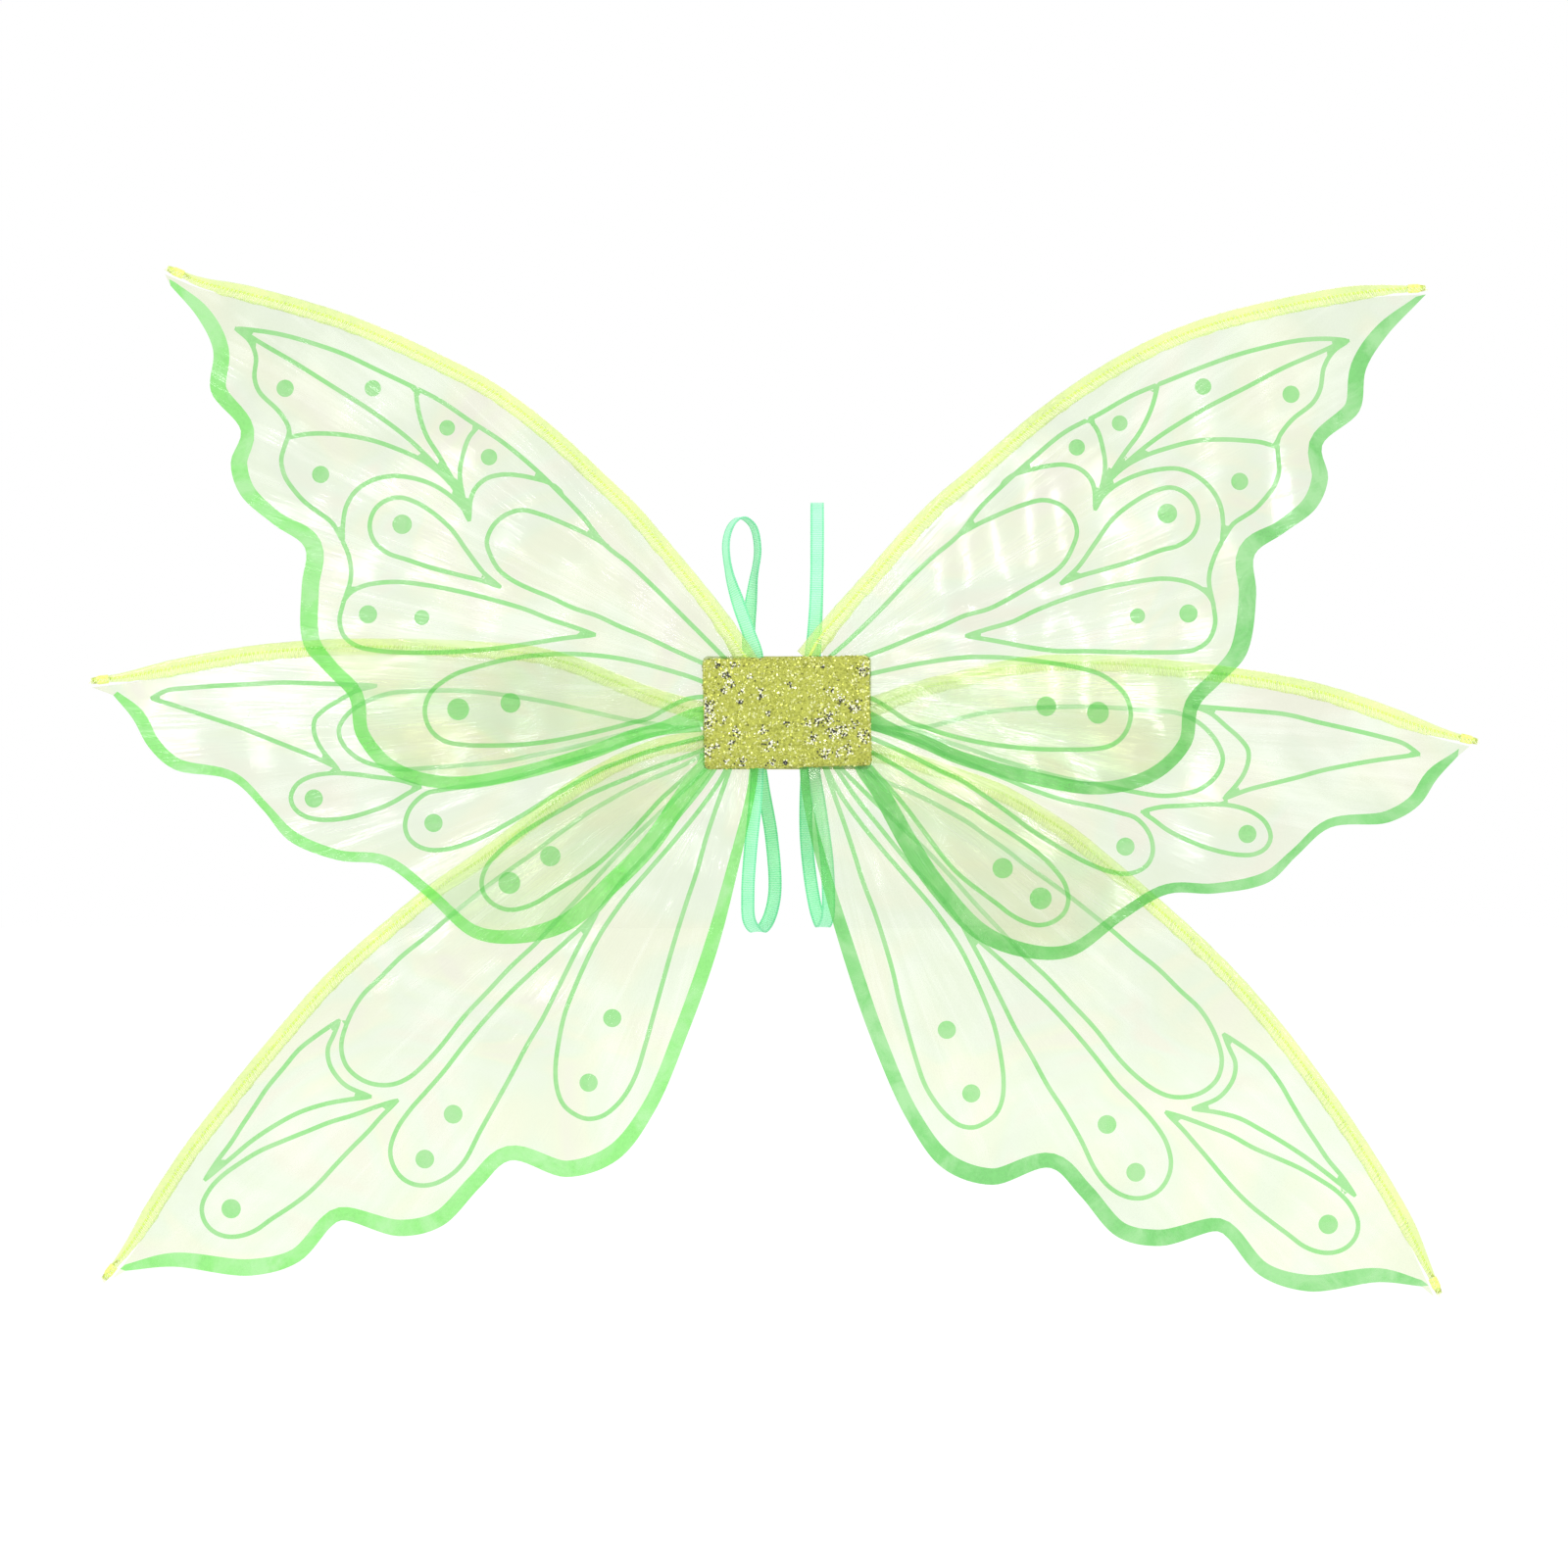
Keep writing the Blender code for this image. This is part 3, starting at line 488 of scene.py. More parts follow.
FILM = sheer("film_iridescent", srgb(235, 241, 218), srgb(246, 248, 239), 0.12, 0.6, 0.08,
             streak=0.4, iris=0.8)
BORDER = {
    "left": sheer("film_border_print_left", srgb(146, 236, 122), srgb(150, 232, 138), 0.25, 0.35, 0.4,
                  streak=0.22, print_grain=0.55, blotch=srgb(184, 240, 170)),
    "right": sheer("film_border_print_right", srgb(124, 212, 116), srgb(136, 216, 128), 0.25, 0.35, 0.4,
                   streak=0.3, print_grain=0.55, blotch=srgb(176, 230, 166)),
}
VEIN = sheer("film_vein_print", srgb(156, 226, 142), srgb(150, 220, 140), 0.25, 0.35, 0.4, streak=0.2,
             print_grain=0.5, blotch=srgb(176, 226, 162))
SLEEVE = sheer("sleeve_organza", srgb(246, 255, 216), srgb(244, 255, 192), 0.22, 0.25, 0.5, streak=0.2,
               print_grain=0.35)


def fibre(name, colour, dark, scale, rough=0.75, bump=0.5):
    """Opaque thread or cloth with fine colour variation."""
    n = Nodes(name)
    grain = n.noise(scale, 4.0, n.coords())
    tone = n.ramp(grain, [(0.3, dark), (0.6, colour)])
    normal = n.bump(grain, bump, 0.0005)
    shader = n.add("ShaderNodeBsdfPrincipled", {"Base Color": tone, "Roughness": rough, "Normal": normal,
                                                "Sheen Weight": 0.3})
    return n.finish(shader.outputs[0])


THREAD = fibre("overlock_thread", srgb(250, 255, 214), srgb(240, 253, 178), 900.0, bump=0.2)
TAPE = fibre("tip_tape", srgb(240, 250, 140), srgb(214, 228, 92), 700.0, 0.5)
WIRE = fibre("wrapped_wire", srgb(240, 254, 150), srgb(226, 248, 122), 500.0, 0.6, 0.2)
BARE_WIRE = fibre("hairpin_wire", srgb(206, 212, 104), srgb(168, 168, 76), 500.0, 0.35, 0.2)


def elastic(name, colour, dark):
    """Knitted elastic: fine cords along the band, crossed by rows of weft."""
    n = Nodes(name)
    weave = n.add("ShaderNodeAttribute", attribute_name="weave").outputs["Vector"]
    rows = n.add("ShaderNodeTexWave", {"Vector": weave, "Scale": 210.0, "Distortion": 1.5, "Detail": 2.0,
                                       "Detail Scale": 3.0}, bands_direction="Y").outputs["Fac"]
    patches = n.noise(70.0, 3.0, weave)
    tone = n.ramp(n.maths("ADD", n.maths("MULTIPLY", rows, 0.45), n.maths("MULTIPLY", patches, 0.55)),
                  [(0.22, dark), (0.62, colour)])
    shader = n.add("ShaderNodeBsdfPrincipled", {"Base Color": tone, "Roughness": 0.6, "Sheen Weight": 0.3,
                                                "Normal": n.bump(rows, 0.6, 0.0004)})
    return n.finish(shader.outputs[0])


ELASTIC = elastic("elastic_mint", srgb(184, 250, 212), srgb(140, 238, 186))
# darker copy of the elastic for the band's edges: painted shade along the edges
ELASTIC_SHADED_EDGE = elastic("elastic_edge_painted_shade", srgb(140, 238, 184), srgb(104, 220, 160))
FELT = fibre("back_felt", srgb(206, 210, 140), srgb(178, 184, 104), 260.0, 0.95, 1.0)
CARD = fibre("board_card", srgb(226, 224, 214), srgb(206, 204, 192), 200.0, 0.9, 0.3)
BACKING = fibre("glitter_backing", srgb(188, 194, 78), srgb(158, 164, 54), 1200.0, 0.6, 0.8)


def flake(name, colour, metallic, rough):
    """One kind of glitter flake."""
    n = Nodes(name)
    grain = n.noise(300.0, 2.0, n.coords())
    tone = n.ramp(grain, [(0.3, tuple(c * 0.85 for c in colour)), (0.7, colour)])
    shader = n.add("ShaderNodeBsdfPrincipled", {"Base Color": tone, "Roughness": rough, "Metallic": metallic,
                                                "Coat Weight": 0.5, "Coat Roughness": 0.05})
    return n.finish(shader.outputs[0])


FLAKES = [
    flake("glitter_gold", srgb(198, 203, 86), 0.6, 0.25),
    flake("glitter_olive", srgb(164, 170, 58), 0.6, 0.3),
    flake("glitter_pale", srgb(234, 237, 160), 0.5, 0.2),
    flake("glitter_dark", srgb(120, 122, 40), 0.7, 0.2),
    flake("glitter_black", srgb(10, 12, 4), 0.0, 0.5),
    # near-white chips that are painted sparkle glints
    flake("glitter_white_painted_glint", srgb(254, 254, 226), 0.0, 0.3),
]


# ---------------------------------------------------------------- wings
class Wing:
    """One wing: its pattern placed on one side of the plate, in its own layer."""

    def __init__(self, row, side):
        self.row, self.side = row, side
        self.spec = WINGS[row]
        self.name = f"{row}_{side}"
        self.sign = -1.0 if side == "left" else 1.0
        self.seed = 11 + list(WINGS).index(row) * 7 + (3 if side == "left" else 0)
        out, up, turn = self.spec["seat"] if side == "right" else (0.0, 0.0, 0.0)
        cos, sin = math.cos(math.radians(turn)), math.sin(math.radians(turn))
        self.seat = lambda p: Vector((cos * p[0] - sin * p[1] + out, sin * p[0] + cos * p[1] + up))
        self.leading = [Vector(p) for p in self.spec["leading" if side == "left" else "leading_right"]]
        self.trailing = [self.place(p) for p in self.spec["trailing"]]
        self.edge = spline(self.leading, 4.0)
        self.waves = random.Random(self.seed)
        draw = self.waves.uniform
        self.ripples = [(draw(9, 34), draw(0, 6.28), draw(0.25, 1.0)) for _ in range(7)]
        self.swells = [(self.waves.uniform(38, 90), self.waves.uniform(0, 6.28), self.waves.uniform(0, 3.14))
                       for _ in range(3)]

    def place(self, p):
        """A (u, v) point of the film's pattern, where it lies on this side of the plate."""
        p = self.seat(p)
        if self.side == "left":
            return p
        total, shift = 0.04, Vector((0.0, 0.0))
        for u, v, out, up in SETTLED[self.row]:
            weight = math.exp(-((p.x - u) ** 2 + (p.y - v) ** 2) / (2 * SETTLE_REACH ** 2))
            total += weight
            shift += Vector((out, up)) * weight
        return p + shift / total

    def world(self, p, through=0.0):
        """A (u, v) point, `through` mm behind the layer, in the row's own axes."""
        return (self.sign * p[0], self.spec["layer"] + through, p[1])

    def drape(self, p):
        """How far the film stands off its layer: creases that fan out from the plate, and slow swells."""
        away = Vector(p) - self.leading[0]
        r = away.length
        angle = math.atan2(away.y, away.x)
        fan = sum(a * math.sin(k * angle + phase) for k, phase, a in self.ripples)
        swell = sum(math.sin((away.x * math.cos(d) + away.y * math.sin(d)) * 6.28 / length + phase)
                    for length, phase, d in self.swells)
        reach = smooth(r / 70) * (1 - 0.35 * smooth((r - 250) / 200))
        near_edge = min((Vector(p) - q).length for q in self.edge[::4])
        free = smooth((near_edge - 4) / 30)
        return free * (0.30 * reach * fan + 0.28 * swell)

    def lay_pattern(self, piece, flat):
        """Keep each vertex's place on the flat sheet, and its place in the fan of creases round the root."""
        root = self.leading[0] * 0.4
        fan = []
        for p in flat:
            away = Vector((p[0], p[1])) - root
            fan.append((math.atan2(away.y, away.x), away.length * MM, self.seed))
        keep_vectors(piece, "fan", fan)
        keep_vectors(piece, "flat", [(p[0] * MM, p[1] * MM, self.seed * 0.37) for p in flat])

    def blend(self, piece):
        """Bake the piece's placement into its mesh."""
        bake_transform(piece)

    def film(self):
        """The film: one sheet whose faces are plain film, border print or vein print."""
        offset = SLEEVE_HALF_W - 1.2
        inner = [p + Vector((t[1], -t[0])) * offset for p, t in zip(self.edge, tangents(self.edge))]
        steps = [(*p, w) for p, w in zip(self.trailing, self.spec["border"])]
        rim = spline(steps, 4.0)
        outer = [Vector(p[:2]) for p in rim]
        outline = (inner[::2] + outer)[::-1]

        points, faces = list(outline), [list(range(len(outline)))]
        lines, rims, spots, marks = [], [], [], []

        def strip(left, right, inks, half):
            """Two edges of an inked line, and its middle with its half width at each point."""
            for side in (left, right):
                base = len(points)
                points.extend(side)
                edges.extend((k, k + 1) for k in range(base, base + len(side) - 1))
            inks.extend(((a + b) / 2, h) for a, b, h in zip(left, right, half))

        edges = []
        inwards = [Vector((t[1], -t[0])) for t in tangents(outer)]
        strip([p - n * 0.8 for p, n in zip(outer, inwards)],
              [p + n * w[2] for p, n, w in zip(outer, inwards, rim)], rims, [(w[2] + 0.8) / 2 for w in rim])
        id_of_stroke = 1
        for stroke in VEINS[self.row]:
            path = spline([self.place(p) for p in stroke], 2.5)
            along = lengths(path)
            sides = [Vector((t[1], -t[0])) for t in tangents(path)]
            half = [VEIN_HALF * (0.8 + 0.2 * smooth(min(s, along[-1] - s) / VEIN_TAPER)) for s in along]
            strip([p - n * h for p, n, h in zip(path, sides, half)],
                  [p + n * h for p, n, h in zip(path, sides, half)], lines, half)
            marks.extend(id_of_stroke * 2000 + s for s in along)
            id_of_stroke += 1
        for u, v, r in DOTS[self.row]:
            centre = self.place((u, v))
            base = len(points)
            points.extend(centre + Vector((math.cos(a), math.sin(a))) * r
                          for a in (2 * math.pi * k / 24 for k in range(24)))
            edges.extend((base + k, base + (k + 1) % 24) for k in range(24))
            spots.append((centre, r))

        grid = 7.0
        low = [min(p[i] for p in outline) for i in (0, 1)]
        high = [max(p[i] for p in outline) for i in (0, 1)]
        for j in range(int((high[1] - low[1]) / (grid * 0.87)) + 1):
            for i in range(int((high[0] - low[0]) / grid) + 1):
                points.append(Vector((low[0] + (i + 0.5 * (j % 2)) * grid, low[1] + j * grid * 0.87)))
        made = delaunay_2d_cdt([p.to_2d() for p in points], edges, faces, 0, 0.02, True)
        verts, tris, origins = made[0], made[2], made[5]

        def tree(inks):
            found = KDTree(len(inks))
            for i, (p, _) in enumerate(inks):
                found.insert((p[0], p[1], 0), i)
            found.balance()
            return found

        line_tree, rim_tree = tree(lines), tree(rims)

        def covered(p, inks, near):
            """Whether a point lies under an inked line, measured to the nearest pieces of its middle."""
            hits = near.find_n((p[0], p[1], 0), 3)
            _, i, _ = hits[0]
            a, h = inks[i]
            for j in (i - 1, i + 1):
                if 0 <= j < len(inks):
                    b = inks[j][0]
                    step = b - a
                    if 0 < step.length < 9:
                        share = max(0.0, min(1.0, (p - a).dot(step) / step.length_squared))
                        if (p - a - step * share).length < h + (inks[j][1] - h) * share:
                            return True
            return (p - a).length < h

        kept, regions = [], []
        for tri, origin in zip(tris, origins):
            if 0 not in origin:
                continue
            a, b, c = (verts[k] for k in tri)
            if abs((b - a).cross(c - a)) < 1e-4:
                continue
            middle = (a + b + c) / 3
            inked = covered(middle, lines, line_tree) or any((middle - q).length < r for q, r in spots)
            if not inked and middle.length > WEB_FROM:
                near = [((lines[i][0] - middle).normalized(), marks[i])
                        for _, i, _ in line_tree.find_range((middle[0], middle[1], 0), VEIN_HALF + WEB)]
                inked = any(abs(m - k) > 24 and d.dot(e) < -0.55 for d, m in near for e, k in near)
            region = 1 if covered(middle, rims, rim_tree) else 2 if inked else 0
            kept.append(tri)
            regions.append(region)
        used = sorted({k for tri in kept for k in tri})
        number = {k: i for i, k in enumerate(used)}
        kept = [[number[k] for k in tri] for tri in kept]
        if self.sign > 0:
            kept = [tri[::-1] for tri in kept]
        shape = [self.world(verts[k], self.drape(verts[k])) for k in used]
        piece = add_mesh(f"film_sheet_{self.name}", shape, kept, [FILM, BORDER[self.side], VEIN], regions)
        self.lay_pattern(piece, [verts[k] for k in used])
        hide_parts(f"film_{self.name}", f"film_root_{self.name}")
        self.blend(piece)
        return piece

    def tube(self, name, path, section, materials, nodes=(), caps=True):
        """Sweep a section along a (u, v) path. section(s, share) gives (across, through) offsets."""
        along = lengths(path)
        points, faces, count = [], [], None
        for p, t, s in zip(path, tangents(path), along):
            across = Vector((t[1], -t[0]))
            ring = section(s, s / along[-1])
            count = len(ring)
            points.extend(self.world(p + across * a, b) for a, b in ring)
        for i in range(len(path) - 1):
            for k in range(count):
                a, b = i * count + k, i * count + (k + 1) % count
                faces.append((a, b, b + count, a + count))
        if caps:
            faces.append(tuple(range(count))[::-1])
            faces.append(tuple(range((len(path) - 1) * count, len(path) * count)))
        if self.sign > 0:
            faces = [f[::-1] for f in faces]
        piece = add_mesh(name, points, faces, materials)
        if nodes:
            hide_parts(*nodes)
        return piece

    def sleeve(self):
        """Sheer sleeve gathered over the wire, narrowing to the tip."""
        inward = (self.leading[1] - self.leading[0]).normalized() * ROOT_LENGTH
        path = spline([self.leading[0] - inward, *self.leading], 2.0)
        total = lengths(path)[-1]
        rng = random.Random(self.seed + 100)
        puckers = [(rng.uniform(7, 22), rng.uniform(0, 6.28)) for _ in range(4)]

        def section(s, share):
            narrow = 1 - 0.62 * smooth((s - total + 55) / 52)
            wobble = sum(math.sin(s * 6.28 / length + phase) for length, phase in puckers) / 4
            flare = 1 + 0.2 * (1 - smooth((s - ROOT_LENGTH) / 45))
            half_w = (SLEEVE_HALF_W + 0.35 * wobble) * narrow * flare
            half_t = (SLEEVE_HALF_T + 0.18 * wobble) * (0.75 + 0.25 * narrow)
            ring = []
            for k in range(14):
                a = 2 * math.pi * k / 14
                crease = 1 + 0.10 * math.sin(s * 1.9 + 2.3 * k)
                ring.append((half_w * math.cos(a) + 0.2 * wobble, half_t * math.sin(a) * crease))
            return ring

        nodes = [f"sleeve_{self.name}"] + ([f"sleeve_root_{self.name}"] if self.row != "middle" else [])
        piece = self.tube(f"wing_sleeve_{self.name}", path, section, [SLEEVE], nodes, caps=False)
        self.lay_pattern(piece, [(self.sign * v.co.x / MM, v.co.z / MM) for v in piece.data.vertices])
        self.blend(piece)
        return piece

    def thread(self):
        """Overlock stitching: a slanting thread that wraps the sleeve's inner edge."""
        path = spline(self.leading, 0.65)
        along, sides = lengths(path), tangents(path)
        total = along[-1]
        pitch, r = 2.7, 0.21
        route = []
        for index, (p, t, s) in enumerate(zip(path, sides, along)):
            across = Vector((t[1], -t[0]))
            narrow = 1 - 0.62 * smooth((s - total + 55) / 52)
            phase = (s % pitch) / pitch
            reach = (SLEEVE_HALF_W + 0.1) * narrow
            slant = smooth(phase / 0.7) if phase < 0.7 else 1 - smooth((phase - 0.7) / 0.3)
            swing = 0.96 * slant - 0.3 * (1 - slant)
            lift = -(SLEEVE_HALF_T * math.sqrt(max(0.0, 1 - (0.98 * swing) ** 2)) + 0.3)
            route.append(self.world(p + across * reach * swing + t * 1.6 * slant, lift))
        return self.cord_mesh(f"overlock_{self.name}", route, r, THREAD)

    def cord_mesh(self, name, route, r, material, nodes=()):
        """A thin round thread along a route of 3-D points."""
        pts = [Vector(p) for p in route]
        count = 4
        points, faces = [], []
        for p, t in zip(pts, tangents(pts)):
            a = t.cross(Vector((0, 1, 0)))
            a = a.normalized() if a.length > 1e-4 else Vector((1, 0, 0))
            b = t.cross(a)
            points.extend(p + a * r * math.cos(q) + b * r * math.sin(q)
                          for q in (2 * math.pi * k / count for k in range(count)))
        for i in range(len(pts) - 1):
            for k in range(count):
                q, w = i * count + k, i * count + (k + 1) % count
                faces.append((q, w, w + count, q + count))
        faces.append(tuple(range(count))[::-1])
        faces.append(tuple(range((len(pts) - 1) * count, len(pts) * count)))
        piece = add_mesh(name, points, faces, [material])
        if nodes:
            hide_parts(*nodes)
        self.blend(piece)
        return piece

    def wire(self):
        """Spar wire from the middle of the plate to the tip, where it doubles back."""
        tip, t = self.edge[-1], tangents(self.edge)[-1]
        across = Vector((t[1], -t[0]))
        bend = tip - t * 2.2 - across * 1.25
        turn = [bend + (across * (1 - math.cos(a)) + t * math.sin(a)) * 1.25
                for a in (math.pi * k / 8 for k in range(1, 9))]
        back = [turn[-1] - t * d for d in (2.5, 5.0, 7.0)]
        start = self.leading[0].normalized() * 8.3
        before = [p for p in spline([start, *self.leading], 4.0) if (p - tip).length > 12]
        path = before + [bend - t * 7, bend - t * 3, bend, *turn, *back]

        def section(s, share):
            angles = [2 * math.pi * k / 10 for k in range(10)]
            return [(WIRE_R * math.cos(a), WIRE_R * math.sin(a)) for a in angles]

        piece = self.tube(f"spar_wire_{self.name}", path, section, [WIRE, BARE_WIRE],
                          [f"wire_{self.name}", f"wire_root_{self.name}"])
        for polygon in piece.data.polygons:
            out = Vector((self.sign * polygon.center.x / MM, polygon.center.z / MM))
            polygon.material_index = int((out - tip).length < 13)
        self.blend(piece)
        return piece

    def tip_wrap(self):
        """Tape wound round the doubled wire at the tip."""
        tip, t = self.edge[-1], tangents(self.edge)[-1]
        across = Vector((t[1], -t[0]))
        start, count, turns = tip - t * 11.0, 12, 7
        points, faces, steps = [], [], 56
        for i in range(steps + 1):
            share = i / steps
            ridge = 0.16 * abs(math.sin(share * math.pi * turns))
            shrink = 1 - 0.35 * smooth((share - 0.6) / 0.4)
            for k in range(count):
                a = 2 * math.pi * k / count
                slant = 0.35 * math.sin(a)
                q = start + t * (9.4 * share + slant) + across * (2.7 + ridge) * shrink * math.cos(a)
                points.append(self.world(q, (1.45 + ridge) * shrink * math.sin(a)))
        for i in range(steps):
            for k in range(count):
                a, b = i * count + k, i * count + (k + 1) % count
                faces.append((a, b, b + count, a + count))
        faces.append(tuple(range(count))[::-1])
        faces.append(tuple(range(steps * count, (steps + 1) * count)))
        if self.sign > 0:
            faces = [f[::-1] for f in faces]
        piece = add_mesh(f"tip_tape_{self.name}", points, faces, [TAPE])
        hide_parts(f"tip_wrap_{self.name}")
        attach(piece, f"wing_{self.name}")
        return piece


for side in ("left", "right"):
    for row in WINGS:
        wing = Wing(row, side)
        wing.sleeve()
        wing.film()
        wing.wire()
        wing.thread()
        wing.tip_wrap()


# ---------------------------------------------------------------- arm loops
def arm_loop(side):
    """Ribbed elastic: a flat band with ribs along it. The left one turns edge on at the top of its loop.
    Faces near both edges take the darker copy of the elastic, which is painted shade.
    """
    path = spline(STRAPS[side], 1.2)
    along = lengths(path)
    ribs, per_rib = 9, 4
    steps = ribs * per_rib
    outline = [(STRAP_W * (k / steps - 0.5),
                face * (STRAP_T / 2 - 0.1 + 0.1 * math.cos(k / per_rib * 2 * math.pi)))
               for face in (-1, 1) for k in range(steps + 1)[::-face]]
    count = len(outline)
    points, faces, indices, weave = [], [], [], []
    for p, t, s in zip(path, tangents(path), along):
        turn = math.radians(-62) * smooth((p.z - 52) / 45) if side == "left" else 0.0
        wide = Vector((math.cos(turn), math.sin(turn), 0))
        wide = (wide - wide.dot(t) * t).normalized()
        thick = t.cross(wide)
        points.extend(p + wide * a + thick * b for a, b in outline)
        weave.extend((a * MM, s * MM, 0.0) for a, _ in outline)
    for i in range(len(path) - 1):
        for k in range(count):
            a, b = i * count + k, i * count + (k + 1) % count
            faces.append((a, b, b + count, a + count))
            middle = abs(outline[k][0] + outline[(k + 1) % count][0]) / 2
            # faces near either edge of the band take the darker elastic, painted shade
            indices.append(int(middle > STRAP_W / 2 * 0.74))
    faces.append(tuple(range(count))[::-1])
    faces.append(tuple(range((len(path) - 1) * count, len(path) * count)))
    piece = add_mesh(f"arm_loop_{side}", points, faces, [ELASTIC, ELASTIC_SHADED_EDGE], indices + [0, 0])
    keep_vectors(piece, "weave", weave)
    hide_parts(f"strap_{side}")
    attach(piece, "hub")
    return piece


for side in STRAPS:
    arm_loop(side)


# ---------------------------------------------------------------- glitter plate
COVER_HALF_W, COVER_HALF_H = 52.6, 34.7
COVER_TILT = math.radians(1.35)  # the plate is glued on slightly askew, right side up
PUFF_CAP = 1.6  # how far the cloth may move when it fills, mm

# Bunches of black chips, and of white chips that are painted sparkle glints: (across, up, how many)
BUNCHES = [
    (-44, 29.5, 3), (-39, 23.5, 6), (-33, 29.5, 3), (-36, 18, 4), (-40, 13, 3), (-23, 21.5, 2),
    (-29, 13, 2), (-29.5, 7, 3), (-16, 12.5, 4), (-50, 4, 8), (-49.5, -1, 8), (-50.5, -6, 8), (-40, -5, 2),
    (-32, -12.5, 5), (-12.5, 0, 2), (-16, -12, 4), (-11, -21, 7), (0, -7, 2), (-50, -24.5, 5),
    (-45, -22, 3), (-35, -20, 4), (-38, -31, 2), (-28, -32, 5), (-10, -32, 3), (-1, -32, 3), (2, 18, 2),
    (23.5, 28, 1), (28.5, 13.5, 3), (34, 7.5, 5), (42.5, 4, 8), (48, 27, 7), (26, -3.5, 9), (20, -6, 4),
    (13, -7, 3), (16, -17.5, 5), (28.5, -13.5, 8), (35, -12.5, 8), (43, -8, 3), (48.5, -15, 9),
    (24, -26.5, 6), (32, -26, 3), (38.5, -23, 4),
]


def fill_with_air(piece, held, pressure, cap):
    """Fill a closed cloth shell by cloth simulation, hold some vertices, and cap how far a point may move."""
    mesh = piece.data
    pins = piece.vertex_groups.new(name="pins")
    for index, weight in held.items():
        pins.add([index], weight, "REPLACE")
    cloth = piece.modifiers.new("cloth", "CLOTH")
    cloth.settings.vertex_group_mass = "pins"
    cloth.settings.quality = 6
    cloth.settings.use_pressure = True
    cloth.settings.uniform_pressure_force = pressure
    cloth.settings.effector_weights.gravity = 0.0
    cloth.point_cache.frame_start, cloth.point_cache.frame_end = 1, 20
    scene = bpy.context.scene
    for step in range(1, 21):
        scene.frame_set(step)
        bpy.context.view_layer.update()
    filled = piece.evaluated_get(bpy.context.evaluated_depsgraph_get()).to_mesh()
    moved = [v.co.copy() for v in filled.vertices]
    piece.evaluated_get(bpy.context.evaluated_depsgraph_get()).to_mesh_clear()
    piece.modifiers.remove(cloth)
    piece.vertex_groups.remove(pins)
    scene.frame_set(1)
    for v, co in zip(mesh.vertices, moved):
        step = co - v.co
        if step.length > cap * MM:
            step *= cap * MM / step.length
        v.co += step
    mesh.update()


def plate_cover():
    """Soft glitter cover: a crowned front whose sides run back and draw in between the corners."""
    half_w, half_h = COVER_HALF_W, COVER_HALF_H
    front, back = PAD_LOW.y + 1.3, PANEL_LOW.y - 0.15
    nu, nv, nd = 52, 34, 10
    rng = random.Random(5)
    waves = [(rng.uniform(16, 40), rng.uniform(0, 6.28), rng.uniform(0, 3.14)) for _ in range(6)]

    def wobble(x, z):
        return sum(math.sin((x * math.cos(d) + z * math.sin(d)) * 6.28 / length + ph)
                   for length, ph, d in waves) / 6

    points, faces, ids = [], [], {}
    for j in range(nv + 1):
        for i in range(nu + 1):
            x, z = (2 * i / nu - 1) * half_w, (2 * j / nv - 1) * half_h
            edge = min(half_w - abs(x), half_h - abs(z))
            over = Vector((max(0.0, abs(x) - (half_w - 3)), max(0.0, abs(z) - (half_h - 3))))
            if over.length > 3 and over.x > 0 and over.y > 0:
                over *= 3 / over.length
                x = math.copysign(half_w - 3 + over.x, x)
                z = math.copysign(half_h - 3 + over.y, z)
            y = front + 1.7 * (1 - smooth(edge / 3)) ** 2 + 0.35 * wobble(x, z) * smooth(edge / 8)
            ragged = 0.3 * wobble(z * 2.3, x * 2.1) * (1 - smooth(edge / 3))
            ids[i, j] = len(points)
            points.append((x * (1 - ragged / half_w), y, z * (1 - ragged / half_h)))
    for j in range(nv):
        for i in range(nu):
            faces.append((ids[i, j], ids[i + 1, j], ids[i + 1, j + 1], ids[i, j + 1]))
    rim = ([(i, 0) for i in range(nu)] + [(nu, j) for j in range(nv)] +
           [(i, nv) for i in range(nu, 0, -1)] + [(0, j) for j in range(nv, 0, -1)])
    last = [ids[k] for k in rim]
    held = {k: 0.85 for k in last}
    for d in range(1, nd + 1):
        share = d / nd
        ring = []
        for k in rim:
            x, y, z = points[ids[k]]
            middle = 1 - (z / half_h) ** 4 if abs(abs(x) - half_w) < 1.2 else 1 - (x / half_w) ** 4
            pull = (1.9 * math.sin(math.pi * share) + 0.9 * share) * (0.25 + 0.75 * max(0.0, middle))
            pull += 0.22 * math.sin((x + z) * 1.1) * math.sin(math.pi * share)
            ring.append(len(points))
            points.append((x * (1 - pull / half_w), y + (back - y) * share, z * (1 - pull / half_h)))
        for k in range(len(ring)):
            m = (k + 1) % len(ring)
            faces.append((last[k], ring[k], ring[m], last[m]))
        last = ring
    held.update({k: 1.0 for k in last})
    faces.append(tuple(last))
    cover = add_mesh("glitter_pad", points, faces, [BACKING])
    build = bmesh.new()
    build.from_mesh(cover.data)
    bmesh.ops.recalc_face_normals(build, faces=build.faces)
    build.to_mesh(cover.data)
    build.free()
    fill_with_air(cover, held, 4.0, PUFF_CAP)
    tilt = Matrix.Rotation(-COVER_TILT, 4, "Y")
    cover.data.transform(tilt)
    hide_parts("glitter_cover", "foam_pad")
    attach(cover, "hub")
    return cover


def chip(points, centre, facing, size, turn):
    """Add the six corners of one flat chip."""
    side = facing.orthogonal().normalized()
    up = facing.cross(side)
    base = len(points)
    for k in range(6):
        angle = turn + math.pi / 3 * k
        points.append(centre + (side * math.cos(angle) + up * math.sin(angle)) * size)
    return tuple(range(base, base + 6))


